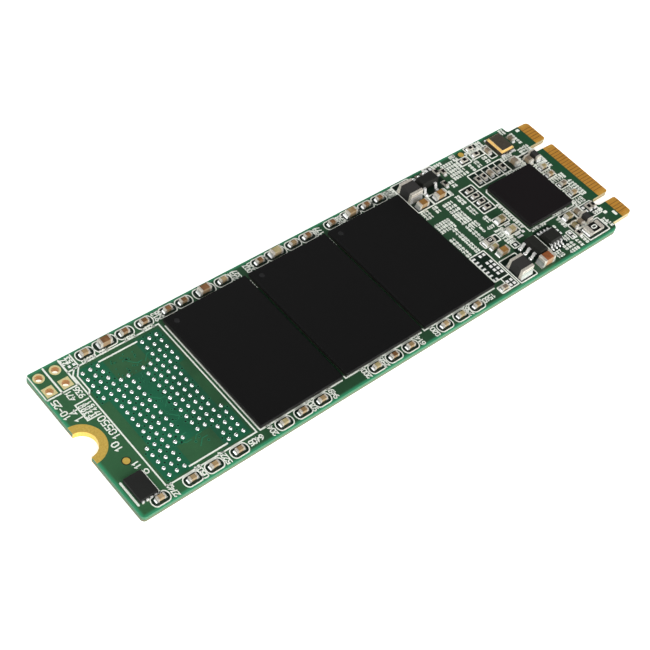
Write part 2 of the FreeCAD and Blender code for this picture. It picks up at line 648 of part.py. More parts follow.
def build_inductor_coils():
    """A wound coil inside each power inductor, lying in a ring-shaped chamber."""
    coil = Part.makeTorus(COIL_R, COIL_WIRE_R, Vector(0, 0, INDUCTOR_2520[2] / 2))
    return at_each(coil, INDUCTORS, TOP + SOLDER)


def build_chip_parts():
    solder = []
    build_chip_group("far_row_capacitor", [(CAP_0402, FAR_SMALL), (CAP_0603, FAR_LARGE)], solder)
    build_chip_group("near_row_capacitor", [(CAP_0402, NEAR_SMALL)], solder)
    build_chip_group("power_capacitor", [(CAP_0603, POWER_CAPS), (CAP_0805, TALL_CAP)], solder)
    core_caps = [(CAP_0504, CORE_CAPS_0504), (CAP_0402, CORE_CAPS_0402)]
    build_chip_group("controller_capacitor", core_caps, solder)
    build_chip_group("ferrite_bead", [(BEAD_0603, BEADS)], solder)

    resistors = [(RES_0402, RESISTORS_0402), (RES_0603, LINKS_0603), (RES_1008, LINKS_1008)]
    build_chip_group("resistor", resistors, solder)
    build_resistor_coats(resistors)

    coils = build_inductor_coils()
    save("inductor_coils", coils)
    bodies = [b.cut(c) for b, c in zip(at_each(chip_body(INDUCTOR_2520), INDUCTORS, TOP + SOLDER), coils)]
    save("inductor_ferrite_bodies", bodies)
    ends = []
    for sign in (-1, 1):
        ends += at_each(metal_end(INDUCTOR_2520, sign), INDUCTORS, TOP + SOLDER)
        solder += at_each(solder_joint(INDUCTOR_2520, sign), INDUCTORS, TOP)
    save("inductor_metal_ends", ends)
    save("chip_part_solder_joints", solder)


# ---- leaded packages and the crystal ----
def moulded_body(size, lead_z):
    """A moulded package whose sides lean in above and below the plane of its leads."""
    length, width, height = size
    low = (length - BODY_LEAN, width - BODY_LEAN)
    high = (length - 2 * BODY_LEAN, width - 2 * BODY_LEAN)
    lower = frustum(low, (length, width), BODY_GAP, lead_z - BODY_GAP)
    upper = frustum((length, width), high, lead_z, height - lead_z)
    body = lower.fuse(upper).removeSplitter()
    return rounded(body, BODY_EDGE_R, at_height(height))


def gull_lead(body_half, span, exit_z, width):
    """One gull-wing lead on the +Y side, from inside the body down to its foot."""
    t, tip = LEAD_THICKNESS, span / 2
    start, knee, heel = body_half - LEAD_INSIDE, body_half + LEAD_SHOULDER, tip - LEAD_FOOT
    low_bend, high_bend = LEAD_BEND
    wire = outline([
        (0, start, exit_z), (0, knee, exit_z), (0, heel, 0), (0, tip, 0), (0, tip, t),
        (0, heel + low_bend, t), (0, knee + high_bend, exit_z + t), (0, start, exit_z + t)])
    lead = Part.Face(wire).extrude(Vector(width, 0, 0))
    lead.translate(Vector(-width / 2, 0, 0))
    return lead


def build_leaded(name, pos, turn, size, span, pitch, rows):
    """A moulded body with gull-wing leads; the body is cut to the leads so nothing overlaps."""
    middle_z = size[2] / 2
    body = moulded_body(size, middle_z)
    lead = gull_lead(size[1] / 2, span, middle_z - LEAD_THICKNESS / 2, pitch * LEAD_SHARE)
    leads = []
    for side, offsets in rows:
        for offset in offsets:
            one = placed(lead, offset if side > 0 else -offset, 0, 0, 0)
            leads.append(one if side > 0 else placed(Part.makeCompound([one]), 0, 0, 0, 180))
    body = body.cut(leads)
    save(name + "_body", [placed(Part.makeCompound([body]), pos[0], pos[1], TOP, turn)])
    save(name + "_leads", [placed(Part.makeCompound([one]), pos[0], pos[1], TOP, turn) for one in leads])


def build_rom():
    """A flat leadless package: its body, and pads along both short sides."""
    x, y = ROM_POS
    length, width, height = ROM_BODY
    pads = [block(a, b, TOP, *ROM_PAD) for a, b in rom_pad_places()]
    body = block(x, y, TOP + SOLDER, length, width, height)
    body = rounded(body, ROM_EDGE_R, at_height(TOP + SOLDER + height))
    save("firmware_chip_body", [body.cut(pads)])
    save("firmware_chip_pads", pads)


def build_crystal():
    """A ceramic base with a hollow for the quartz, a seal ring round its rim, and a metal lid on that."""
    x, y = CRYSTAL_POS
    z = TOP + SOLDER
    length, width = CRYSTAL_SIZE
    lid_length, lid_width, lid_height = CRYSTAL_LID
    hollow_length, hollow_width = lid_length - 2 * CRYSTAL_WALL, lid_width - 2 * CRYSTAL_WALL
    base = rounded(block(0, 0, 0, length, width, CRYSTAL_BASE_HEIGHT), CRYSTAL_CORNER_R, is_upright)
    base = base.cut(block(0, 0, CRYSTAL_FLOOR, hollow_length, hollow_width, CRYSTAL_BASE_HEIGHT))
    save("crystal_base", [placed(base, x, y, z, 0)])

    shelf_width, shelf_height = SHELF_SIZE
    inner_length, inner_width = hollow_length - 2 * QUARTZ_GAP, hollow_width - 2 * QUARTZ_GAP
    shelf_y = (shelf_width - inner_width) / 2
    shelf = block(0, shelf_y, CRYSTAL_FLOOR, inner_length, shelf_width, shelf_height)
    blank = block(0, 0, CRYSTAL_FLOOR + shelf_height, inner_length, inner_width, QUARTZ_THICKNESS)
    save("crystal_mounting_shelf", [placed(shelf, x, y, z, 0)])
    save("crystal_quartz_blank", [placed(blank, x, y, z, 0)])

    ring = block(0, 0, 0, length - 2 * RING_INSET, width - 2 * RING_INSET, CRYSTAL_RING)
    ring = rounded(ring, CRYSTAL_CORNER_R - RING_INSET, is_upright)
    ring = ring.cut(block(0, 0, 0, hollow_length, hollow_width, CRYSTAL_RING))
    save("crystal_seal_ring", [placed(ring, x, y, z + CRYSTAL_BASE_HEIGHT, 0)])

    lid = rounded(block(0, 0, 0, lid_length, lid_width, lid_height), LID_EDGE_R[0], is_upright)
    lid = rounded(lid, LID_EDGE_R[1], at_height(lid_height))
    save("crystal_lid", [placed(lid, x, y, z + CRYSTAL_BASE_HEIGHT + CRYSTAL_RING, 0)])

    body = block(x, y, z, length, width, CRYSTAL_BASE_HEIGHT)
    inset_x, inset_y = CRYSTAL_SOLDER_INSET
    heap = block(0, 0, 0, *CRYSTAL_SOLDER)
    heap = rounded(heap, CRYSTAL_SOLDER[2] * 0.8, at_height(CRYSTAL_SOLDER[2]))
    corners = [
        placed(heap, x + sx * (length / 2 - inset_x), y + sy * (width / 2 - inset_y), TOP, 0).cut(body)
        for sx, sy in four_corners()]
    save("crystal_solder", corners)


def build_packages():
    regulator_a, regulator_b, switch = package_leads()
    build_leaded("core_regulator", regulator_a[0], regulator_a[1], SOT_BODY, *regulator_a[2:])
    build_leaded("flash_regulator", regulator_b[0], regulator_b[1], SOT_BODY, *regulator_b[2:])
    build_leaded("load_switch", switch[0], switch[1], SWITCH_BODY, *switch[2:])
    build_rom()
    build_crystal()


os.makedirs("parts", exist_ok=True)
build_card()
for number, centre_x in enumerate(FLASH_X, start=1):
    build_flash(number, centre_x)
build_controller()
build_chip_parts()
build_packages()
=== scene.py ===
import math
import random

import bmesh
import bpy
from mathutils import Matrix, Vector


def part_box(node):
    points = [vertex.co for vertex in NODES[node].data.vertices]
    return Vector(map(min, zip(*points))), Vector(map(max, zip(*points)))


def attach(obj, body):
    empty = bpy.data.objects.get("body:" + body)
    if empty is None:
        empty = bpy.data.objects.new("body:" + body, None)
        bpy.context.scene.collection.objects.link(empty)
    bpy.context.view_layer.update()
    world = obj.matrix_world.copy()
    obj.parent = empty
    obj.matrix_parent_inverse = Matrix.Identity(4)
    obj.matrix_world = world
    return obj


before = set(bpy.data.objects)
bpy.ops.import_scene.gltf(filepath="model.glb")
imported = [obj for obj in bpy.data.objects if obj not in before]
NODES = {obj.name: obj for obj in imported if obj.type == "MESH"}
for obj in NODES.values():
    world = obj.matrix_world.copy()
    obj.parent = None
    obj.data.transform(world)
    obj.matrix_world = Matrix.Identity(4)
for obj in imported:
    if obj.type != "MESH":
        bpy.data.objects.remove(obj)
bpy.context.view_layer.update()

# A bare M.2 solid state drive card. Lengths in this script are millimetres unless a name says metres;
# everything is scaled to metres as it is built. +X is the connector end, +Z the component side.

MM = 0.001


def box_mm(node):
    """(lowest corner, highest corner) of a CAD node, in millimetres."""
    low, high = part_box(node)
    return low / MM, high / MM


BOARD_LOW, BOARD_HIGH = box_mm("printed_board_core")
TOP = box_mm("top_solder_mask")[1].z
INK_HEIGHT = 0.022                   # how far the printed ink stands above the mask
RELIEF_HEIGHT = 0.014                # traces under the mask
SHADE_PLATE_HEIGHT = 0.006                  # the dark plates of painted shade
COPPER_HEIGHT = 0.003                # the poured copper areas
SUNK = 0.012                         # how far printed and raised shapes reach down into the mask
LEVEL = 0.001                        # what keeps the tops of crossing strokes apart
FLASH_CHIPS = (1, 2, 3)


# ---------------------------------------------------------------- islands of a CAD node
def islands(node):
    """The box of each separate solid in a CAD node, in millimetres, in a steady order."""
    mesh = NODES[node].data
    key_of, parent = [], {}

    def root(k):
        while parent[k] != k:
            parent[k] = parent[parent[k]]
            k = parent[k]
        return k

    for v in mesh.vertices:
        k = tuple(round(c * 1e6) for c in v.co)
        key_of.append(k)
        parent.setdefault(k, k)
    for poly in mesh.polygons:
        first = root(key_of[poly.vertices[0]])
        for i in poly.vertices[1:]:
            parent[root(key_of[i])] = first
    boxes = {}
    for k in parent:
        low, high = boxes.setdefault(root(k), ([9e9] * 3, [-9e9] * 3))
        for axis in range(3):
            low[axis] = min(low[axis], k[axis])
            high[axis] = max(high[axis], k[axis])
    found = [(Vector(low) / 1000, Vector(high) / 1000) for low, high in boxes.values()]
    return sorted(found, key=lambda b: (round(b[0].x, 2), round(b[0].y, 2)))


# ---------------------------------------------------------------- mesh building
class Relief:
    """Collects flat shapes that stand on the board's top face into one mesh of closed solids."""

    def __init__(self, height, base=None):
        self.bm = bmesh.new()
        self.high = (TOP if base is None else base) + height
        self.low = (TOP if base is None else base) - SUNK

    def vert(self, x, y, z):
        return self.bm.verts.new((x * MM, y * MM, z * MM))

    def prism(self, outline, lift=0.0):
        """A closed prism over a convex outline of (x, y) points, counter-clockwise."""
        top = [self.vert(x, y, self.high + lift) for x, y in outline]
        bottom = [self.vert(x, y, self.low) for x, y in outline]
        self.bm.faces.new(top)
        self.bm.faces.new(bottom[::-1])
        for i in range(len(top)):
            j = (i + 1) % len(top)
            self.bm.faces.new((top[j], top[i], bottom[i], bottom[j]))

    def plate(self, x0, y0, x1, y1, radius=0.0, lift=0.0):
        self.prism(rounded_rectangle(x0, y0, x1, y1, radius), lift)

    def disc(self, x, y, radius, lift=0.0, sides=16):
        self.prism([(x + radius * math.cos(a), y + radius * math.sin(a)) for a in turns(sides)], lift)

    def stroke(self, points, width, closed=False, lift=0.0):
        """A line of even width along the points, with round ends, or closed into a loop."""
        points = [Vector(p) for p in points]
        count, half = len(points), width / 2
        top = self.high + lift
        rings, offsets = [], []
        for i, p in enumerate(points):
            before = points[i - 1] if closed or i > 0 else None
            after = points[(i + 1) % count] if closed or i < count - 1 else None
            offset = mitre(before, p, after) * half
            offsets.append(offset)
            left, right = p + offset, p - offset
            rings.append([self.vert(left.x, left.y, top), self.vert(right.x, right.y, top),
                          self.vert(right.x, right.y, self.low), self.vert(left.x, left.y, self.low)])
        for i in range(count if closed else count - 1):
            a, b = rings[i], rings[(i + 1) % count]
            for k in range(4):
                m = (k + 1) % 4
                self.bm.faces.new((a[k], a[m], b[m], b[k]))
        if not closed:
            self.round_end(points[0], offsets[0], rings[0], -1)
            self.round_end(points[-1], offsets[-1], rings[-1], 1)

    def round_end(self, p, offset, ring, sense):
        """Closes one end of a stroke with a half disc."""
        steps = 4
        arc = []
        for k in range(1, steps):
            turned = offset.copy()
            turned.rotate(Matrix.Rotation(-sense * math.pi * k / steps, 2))
            q = p + turned
            arc.append((self.vert(q.x, q.y, ring[0].co.z / MM), self.vert(q.x, q.y, self.low)))
        tops = [ring[0]] + [a[0] for a in arc] + [ring[1]]
        bottoms = [ring[3]] + [a[1] for a in arc] + [ring[2]]
        if sense > 0:
            tops.reverse()
            bottoms.reverse()
        self.bm.faces.new(tops)
        self.bm.faces.new(bottoms[::-1])
        for k in range(len(tops) - 1):
            self.bm.faces.new((tops[k + 1], tops[k], bottoms[k], bottoms[k + 1]))

    def piece(self, name, material, slot):
        """Turns what was collected into one finished piece."""
        finish_piece(self.bm, name, material)


def turns(count):
    """Evenly spaced angles round a circle."""
    return [2 * math.pi * k / count for k in range(count)]


def mitre(before, p, after):
    """The sideways direction at a corner, stretched so that the line keeps its width."""
    sides = []
    for a, b in ((before, p), (p, after)):
        if a is not None and b is not None and (b - a).length > 1e-9:
            d = (b - a).normalized()
            sides.append(Vector((-d.y, d.x)))
    if len(sides) == 1:
        return sides[0]
    middle = (sides[0] + sides[1]).normalized()
    return middle / max(0.5, middle.dot(sides[0]))


def rounded_rectangle(x0, y0, x1, y1, radius, steps=4):
    """The outline between two opposite corners, with its corners rounded in the given number of steps."""
    if radius <= 0:
        return [(x0, y0), (x1, y0), (x1, y1), (x0, y1)]
    corners = ((x1 - radius, y1 - radius, 0), (x0 + radius, y1 - radius, 90),
               (x0 + radius, y0 + radius, 180), (x1 - radius, y0 + radius, 270))
    points = []
    for cx, cy, start in corners:
        for k in range(steps + 1):
            a = math.radians(start + 90 * k / steps)
            points.append((cx + radius * math.cos(a), cy + radius * math.sin(a)))
    return points


def finish_piece(bm, name, material, smooth=False):
    """Makes one object of the mesh and lets it ride on the card's only body."""
    bmesh.ops.recalc_face_normals(bm, faces=bm.faces)
    mesh = bpy.data.meshes.new(name)
    bm.to_mesh(mesh)
    bm.free()
    mesh.materials.append(material)
    if smooth:
        mesh.shade_smooth()
    piece = bpy.data.objects.new(name, mesh)
    bpy.context.scene.collection.objects.link(piece)
    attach(piece, "root")


# ---------------------------------------------------------------- shader helpers
class Shader:
    """A node material whose scales are in features per millimetre."""

    def __init__(self, name):
        self.material = bpy.data.materials.new(name)
        self.material.use_nodes = True
        self.tree = self.material.node_tree
        self.surface = self.tree.nodes["Principled BSDF"]
        self.place = self.tree.nodes.new("ShaderNodeTexCoord").outputs["Object"]

    def node(self, kind, **inputs):
        made = self.tree.nodes.new(kind)
        for key, value in inputs.items():
            self.feed(made.inputs[key.replace("_", " ")], value)
        return made

    def feed(self, socket, value):
        if isinstance(value, bpy.types.NodeSocket):
            self.tree.links.new(value, socket)
        else:
            socket.default_value = value

    def set(self, **inputs):
        """Sets the surface shader's inputs, each a plain value or another node's output."""
        for key, value in inputs.items():
            self.feed(self.surface.inputs[key.replace("_", " ")], value)

    def stretched(self, x, y, z):
        made = self.node("ShaderNodeMapping", Vector=self.place)
        made.inputs["Scale"].default_value = (x, y, z)
        return made.outputs["Vector"]

    def noise(self, per_mm, detail=3.0, vector=None, roughness=0.55):
        made = self.node("ShaderNodeTexNoise", Vector=vector or self.place, Scale=per_mm / MM,
                         Detail=detail, Roughness=roughness)
        return made.outputs["Fac"]

    def cells(self, per_mm):
        made = self.node("ShaderNodeTexVoronoi", Vector=self.place, Scale=per_mm / MM)
        return made.outputs["Distance"]

    def span(self, value, low, high, to_low=0.0, to_high=1.0, smooth=False):
        """The value carried over from the range (low, high) to (to_low, to_high), and held at its ends."""
        made = self.tree.nodes.new("ShaderNodeMapRange")
        made.interpolation_type = "SMOOTHSTEP" if smooth else "LINEAR"
        fed = {"Value": value, "From Min": low, "From Max": high, "To Min": to_low, "To Max": to_high}
        for key, number in fed.items():
            self.feed(made.inputs[key], number)
        return made.outputs["Result"]

    def mix(self, share, a, b):
        """Colour a, turning into colour b as share goes from 0 to 1."""
        made = self.tree.nodes.new("ShaderNodeMix")
        made.data_type = "RGBA"
        share_socket, a_socket, b_socket, result_socket = 0, 6, 7, 2
        self.feed(made.inputs[share_socket], share)
        self.feed(made.inputs[a_socket], colour(a) if isinstance(a, str) else a)
        self.feed(made.inputs[b_socket], colour(b) if isinstance(b, str) else b)
        return made.outputs[result_socket]

    def maths(self, operation, a, b=0.0):
        made = self.tree.nodes.new("ShaderNodeMath")
        made.operation = operation
        self.feed(made.inputs[0], a)
        self.feed(made.inputs[1], b)
        return made.outputs[0]

    def axes(self):
        return self.node("ShaderNodeSeparateXYZ", Vector=self.place).outputs

    def normal_axes(self):
        geometry = self.tree.nodes.new("ShaderNodeNewGeometry")
        return self.node("ShaderNodeSeparateXYZ", Vector=geometry.outputs["Normal"]).outputs

    def bump(self, height, depth_mm, strength=1.0):
        made = self.node("ShaderNodeBump", Height=height, Strength=strength, Distance=depth_mm * MM)
        self.feed(self.surface.inputs["Normal"], made.outputs["Normal"])


def colour(text):
    """Linear colour from a hex string."""
    parts = [int(text[i:i + 2], 16) / 255 for i in (1, 3, 5)]
    return tuple(c / 12.92 if c <= 0.04045 else ((c + 0.055) / 1.055) ** 2.4 for c in parts) + (1.0,)


# ---------------------------------------------------------------- materials
RIM_HIGHLIGHT_EDGE, RIM_HIGHLIGHT_INSET = 0.04, 0.52     # the painted highlight along the mask's rim fades out between these distances inwards
TONGUE_X = 36.0                      # the contact tongue starts here


def mask_material(name, at_notch, at_connector, rim_highlighted=True):
    """Green solder mask, darker towards the connector end, with a painted highlight along the board's rim."""
    s = Shader(name)
    x, y, _ = s.axes()
    wander = s.maths("MULTIPLY", s.span(s.noise(0.35, 2), 0.3, 0.7, -4, 4), MM)
    base = s.mix(s.span(s.maths("ADD", x, wander), -36 * MM, -16 * MM, smooth=True), at_notch, at_connector)
    base = s.mix(s.span(x, TONGUE_X * MM, (TONGUE_X + 1.2) * MM, smooth=True), base, "#1f4d31")
    base = s.mix(s.span(s.noise(9, 3), 0.3, 0.7, 0.0, 0.16), base, "#0c2417")
    # Painted highlight: the rim is lighter along the near and left edges, which face the lamps, and less so
    # along the far edge.
    if rim_highlighted:
        near = s.span(y, (BOARD_LOW.y + RIM_HIGHLIGHT_EDGE) * MM, (BOARD_LOW.y + RIM_HIGHLIGHT_INSET) * MM, 1, 0, smooth=True)
        left = s.span(x, (BOARD_LOW.x + RIM_HIGHLIGHT_EDGE) * MM, (BOARD_LOW.x + RIM_HIGHLIGHT_INSET) * MM, 1, 0, smooth=True)
        far = s.span(y, (BOARD_HIGH.y - RIM_HIGHLIGHT_INSET) * MM, (BOARD_HIGH.y - RIM_HIGHLIGHT_EDGE) * MM, 0, 0.7, smooth=True)
        rim_highlight = s.maths("MAXIMUM", s.maths("MAXIMUM", near, left), far)
        base = s.mix(rim_highlight, base, "#3a946a")
    s.set(Base_Color=base, Roughness=s.span(s.noise(2.2, 4), 0.2, 0.8, 0.30, 0.44), Specular_IOR_Level=0.4)
    s.bump(s.mix(0.35, s.noise(1.6, 3), s.noise(14, 2)), 0.006, 0.5)
    return s.material


def ink_material():
    """White printed ink, slightly patchy and with a fine tooth."""
    s = Shader("white_legend_ink")
    patchy = s.span(s.noise(5, 4), 0.3, 0.75)
    s.set(Base_Color=s.mix(patchy, "#f4f6ee", "#dfe4d8"), Roughness=0.62, Specular_IOR_Level=0.3)
    s.bump(s.noise(18, 3), 0.008, 0.6)
    return s.material


def laminate_material():
    """Glass-epoxy: layered along its cut edges, dark in mask openings, gold-brown between the fingers."""
    s = Shader("glass_epoxy")
    x, _, z = s.axes()
    layers = s.noise(1.0, 2, s.stretched(0.5, 0.5, 9))
    bundles = s.noise(2.4, 3, s.stretched(1, 1, 3))
    sealed = s.mix(s.span(z, 0.18 * MM, 0.42 * MM, smooth=True), "#74694f", "#447a5a")
    cut = s.mix(s.span(layers, 0.35, 0.65), "#a3946c", "#c6b78d")
    at_tongue = s.span(x, (TONGUE_X - 0.4) * MM, (TONGUE_X + 0.2) * MM)
    edge = s.mix(at_tongue, sealed, cut)
    edge = s.mix(s.span(bundles, 0.5, 0.75, 0, 0.5), edge, "#5b6a4c")
    flat = s.mix(at_tongue, "#1c2417", s.mix(s.span(bundles, 0.3, 0.7), "#c8973f", "#b3822f"))
    level = s.span(s.maths("ABSOLUTE", s.normal_axes()[2]), 0.7, 0.9)
    s.set(Base_Color=s.mix(level, edge, flat), Roughness=0.6, Specular_IOR_Level=0.35)
    s.bump(s.mix(0.5, layers, bundles), 0.02, 0.6)
    return s.material


def metal_material(name, bright, dull, rough_low, rough_high, per_mm=8, depth=0.006,
                   metallic=1.0, wall_shade=None):
    """Plated metal with fine patchiness in its colour and roughness, and a painted shade on upright walls
    where a wall tone is given.
    """
    s = Shader(name)
    patches = s.noise(per_mm, 4)
    base = s.mix(s.span(patches, 0.35, 0.7), bright, dull)
    # Painted shade: upright walls, such as the far wall inside a hole, take the darker wall tone.
    if wall_shade:
        upright_painted_share = s.span(s.maths("ABSOLUTE", s.normal_axes()[2]), 0.3, 0.6, 1, 0)
        base = s.mix(upright_painted_share, base, wall_shade)
    s.set(Base_Color=base, Metallic=metallic,
          Roughness=s.span(s.noise(per_mm * 1.7, 3), 0.3, 0.7, rough_low, rough_high))
    s.bump(s.noise(per_mm * 2.5, 3), depth, 0.6)
    return s.material


def finger_material():
    """Gold contact fingers, with fine marks along X where a socket's springs have wiped them."""
    s = Shader("hard_gold_fingers")
    wipes = s.noise(7, 3, s.stretched(0.12, 1.6, 1))
    base = s.mix(s.span(wipes, 0.35, 0.7), "#d2963b", "#bd8230")
    base = s.mix(s.span(s.noise(0.5, 2), 0.3, 0.7, 0, 0.35), base, "#dba345")
    s.set(Base_Color=base, Metallic=0.3, Roughness=s.span(wipes, 0.3, 0.7, 0.34, 0.5))
    s.bump(wipes, 0.004, 0.7)
    return s.material


def mould_material(name, tone, fleck, per_mm=26, rough=0.62, specular=0.18, wall_sheen=None):
    """Black moulding compound: a fine matt grain with pale filler flecks, and greyer upright sides as a
    painted sheen where a wall tone is given.
    """
    s = Shader(name)
    grain = s.noise(per_mm, 3)
    flecks = s.span(s.cells(per_mm * 0.9), 0.0, 0.16, 1, 0, smooth=True)
    broad = s.noise(0.25, 2)
    base = s.mix(s.span(broad, 0.3, 0.7, 0, 0.5), tone, fleck)
    base = s.mix(s.maths("MULTIPLY", flecks, s.span(grain, 0.4, 0.7, 0, 0.35)), base, "#3c3c3c")
    # Painted sheen: upright sides turn greyer, standing in for the light on the lit package walls.
    if wall_sheen:
        base = s.mix(s.span(s.normal_axes()[2], 0.4, 0.8, 1, 0), base, wall_sheen)
    s.set(Base_Color=base, Roughness=s.span(grain, 0.3, 0.7, rough - 0.05, rough + 0.08),
          Specular_IOR_Level=specular)
    s.bump(s.mix(0.4, grain, s.noise(per_mm * 2.5, 2)), 0.004, 0.7)
    return s.material


def ceramic_material(name, tone, warm, per_mm=14, rough=0.42, side=None):
    """Fired ceramic with a speckle and warmer burnt patches, and a painted highlight making its upright sides
    paler where a side tone is given.
    """
    s = Shader(name)
    speckle = s.noise(per_mm, 4)
    patch = s.noise(1.1, 2)
    base = s.mix(s.span(patch, 0.4, 0.62, 0, 0.8), tone, warm)
    base = s.mix(s.span(speckle, 0.5, 0.75, 0, 0.3), base, "#241a10")
    # Painted highlight: upright sides lean towards the pale side tone.
    if side:
        upright_painted_share = s.span(s.normal_axes()[2], 0.4, 0.7, 0.5, 0)
        base = s.mix(upright_painted_share, base, side)
    s.set(Base_Color=base, Roughness=s.span(speckle, 0.3, 0.7, rough - 0.08, rough + 0.12),
          Specular_IOR_Level=0.45)
    s.bump(speckle, 0.006, 0.5)
    return s.material


def lid_material():
    """A plated lid with painted reflections: bright warm metal on its sides, dark grey on its flat top."""
    s = Shader("crystal_lid_metal")
    # Painted reflection: the sides carry a bright warm reflection, the flat top a dark one.
    upward_reflection_share = s.span(s.normal_axes()[2], 0.6, 0.95, smooth=True)
    brushed = s.noise(6, 3, s.stretched(0.3, 2, 1))
    top = s.mix(s.span(brushed, 0.35, 0.65), "#544e44", "#665f53")
    sides = s.mix(s.span(brushed, 0.35, 0.65), "#ffe0a0", "#efc97f")
    s.set(Base_Color=s.mix(upward_reflection_share, sides, top), Metallic=s.span(upward_reflection_share, 0, 1, 0.3, 0.5),
          Roughness=s.span(brushed, 0.3, 0.7, 0.30, 0.42))
    s.bump(brushed, 0.004, 0.6)
    return s.material


def quartz_material():
    """Clear crystal."""
    s = Shader("quartz")
    base = s.mix(s.span(s.noise(4, 2), 0.3, 0.7), "#e8edf0", "#d3dde2")
    s.set(Base_Color=base, Roughness=0.08, IOR=1.54, Transmission_Weight=0.85)
    return s.material


CERAMIC_TONES = {                    # the fired tone, and its burnt patches
    "tan": ("#a08a66", "#866a45"),
    "cream": ("#b5a981", "#9a8a5e"),
    "pale": ("#b39c78", "#9c7f55"),
    "olive": ("#8a7f5a", "#6e6242"),
    "orange": ("#a05c33", "#7d4827"),
    "amber": ("#a1763c", "#80592d"),
    "brown": ("#87603c", "#684727"),
    "grey": ("#877b6b", "#6b5f50"),
}


def make_materials():
    """Every material by its short name."""
    made = {
        "mask": mask_material("green_mask", "#356340", "#2a4c33"),
        "mask_bottom": mask_material("green_mask_underside", "#2f5a3c", "#2f5a3c"),
        "mask_copper": mask_material("green_mask_over_copper", "#1e6748", "#1f4c37", rim_highlighted=False),
        "mask_raised": mask_material("green_mask_over_traces", "#2b7a58", "#2b6a4c", rim_highlighted=False),
        # painted shade: near-black green for plates that stand in for the shade in narrow gaps and round
        # parts
        "mask_painted_shade": mask_material("green_mask_painted_shade", "#12281b", "#0f2218", rim_highlighted=False),
        "ink": ink_material(),
        "laminate": laminate_material(),
        # painted shade for the narrow gaps between the contact fingers
        "gap": metal_material("finger_gap_painted_shade", "#966527", "#7a5020", 0.5, 0.6, 8, 0.004, 0.1),
        "gold": metal_material("soft_gold", "#f2cf68", "#dfb852", 0.30, 0.44, 5, 0.008, 0.4),
        # the pale gold eyelets carry a painted shade on their barrel walls
        "eyelet": metal_material("pale_gold", "#fff2b8", "#f2de9c", 0.28, 0.4, 6, 0.006, 0.35,
                                 wall_shade="#bd8a50"),
        "fingers": finger_material(),
        "copper": metal_material("plated_copper", "#c9c3b4", "#9a9384", 0.3, 0.45, 6, 0.01, 0.5),
        "solder": metal_material("solder", "#ffffff", "#ecebe6", 0.16, 0.26, 4, 0.004, 0.7),
        "bump": metal_material("solder_bump", "#ffffff", "#e6e9e5", 0.16, 0.28, 4, 0.003, 0.9),
        "pad": metal_material("tinned_pad", "#ffffff", "#e9e8e2", 0.3, 0.42, 5, 0.004, 0.15),
        "tin": metal_material("tin_plate", "#ece6da", "#d3cbbd", 0.24, 0.36, 5, 0.003, 0.45),
        "leads": metal_material("lead_plate", "#ffffff", "#eceae5", 0.18, 0.30, 5, 0.004, 0.4),
        # the flash and controller moulds take a painted sheen on their upright sides
        "mould": mould_material("flash_mould", "#090909", "#0b0a0a", specular=0.14, wall_sheen="#1d1d1d"),
        "mould_mark": mould_material("moulded_pin_mark", "#1c1c1d", "#191919", 14, 0.45, 0.4),
        "mould_warm": mould_material("controller_mould", "#0f0a0c", "#110d0f", specular=0.14, wall_sheen="#1a191a"),
        "mould_small": mould_material("small_mould", "#171814", "#20201c", 18, 0.55, 0.3),
        "mould_grey": mould_material("firmware_mould", "#191a19", "#242523", 12, 0.55, 0.2),
        "package_laminate": ceramic_material("package_laminate", "#2b2c26", "#35342a", 10, 0.55),
        "silicon": metal_material("silicon", "#5b5f68", "#474a52", 0.15, 0.3, 3, 0.002, 0.4),
        "ferrite": mould_material("ferrite", "#2b2a29", "#333130", 12, 0.6, 0.3),
        "coil": metal_material("enamelled_wire", "#b4612f", "#8e4721", 0.3, 0.45),
        "alumina": ceramic_material("alumina", "#d9d5ca", "#c9c2b2", 10, 0.5),
        "glaze": mould_material("resistor_glaze", "#0a0a0a", "#121110", 9, 0.3, 0.5),
        "crystal_base": ceramic_material("crystal_base_ceramic", "#3f352a", "#33291f", 9, 0.5),
        "seal": metal_material("gold_seal_ring", "#ffe3a6", "#ecc877", 0.28, 0.4, 6, 0.006, 0.35),
        "lid": lid_material(),
        "quartz": quartz_material(),
    }
    for tone, (base, warm) in CERAMIC_TONES.items():
        # the capacitor bodies take a pale painted highlight on their upright sides
        made["ceramic_" + tone] = ceramic_material("capacitor_" + tone, base, warm, side="#bba585")
    return made


PAINT = {                            # the material of each CAD node that isn't named by its ending
    "printed_board_core": "laminate", "top_solder_mask": "mask", "bottom_solder_mask": "mask_bottom",
    "top_contact_fingers": "fingers", "bottom_contact_fingers": "fingers",
    "mounting_notch_plating": "gold", "debug_header_eyelets": "eyelet", "fiducials": "gold",
    "component_lands": "copper", "ball_lands": "copper", "bare_tinned_lands": "pad",
    "spare_footprint_bumps": "bump", "chip_part_solder_joints": "solder", "crystal_solder": "solder",
    "controller_mould_cap": "mould_warm", "controller_die": "silicon",
    "core_regulator_body": "mould_small", "flash_regulator_body": "mould_small",
    "load_switch_body": "mould_small", "firmware_chip_body": "mould_grey",
    "core_regulator_leads": "leads", "flash_regulator_leads": "leads", "load_switch_leads": "leads",
    "firmware_chip_pads": "pad",
    "inductor_ferrite_bodies": "ferrite", "ferrite_bead_bodies": "ferrite", "inductor_coils": "coil",
    "resistor_bodies": "alumina", "resistor_glass_coats": "glaze",
    "crystal_base": "crystal_base", "crystal_mounting_shelf": "crystal_base", "crystal_seal_ring": "seal",
    "crystal_lid": "lid", "crystal_quartz_blank": "quartz",
}


def paint_for(node):
    """The short name of a CAD node's material."""
    if node in PAINT:
        return PAINT[node]
    endings = {"_solder_balls": "solder", "_metal_ends": "tin", "_laminate": "package_laminate",
               "_dies": "silicon", "_mould_cap": "mould", "_capacitor_bodies": "ceramic_tan"}
    for ending, name in endings.items():
        if node.endswith(ending):
            return name
    raise KeyError(node)


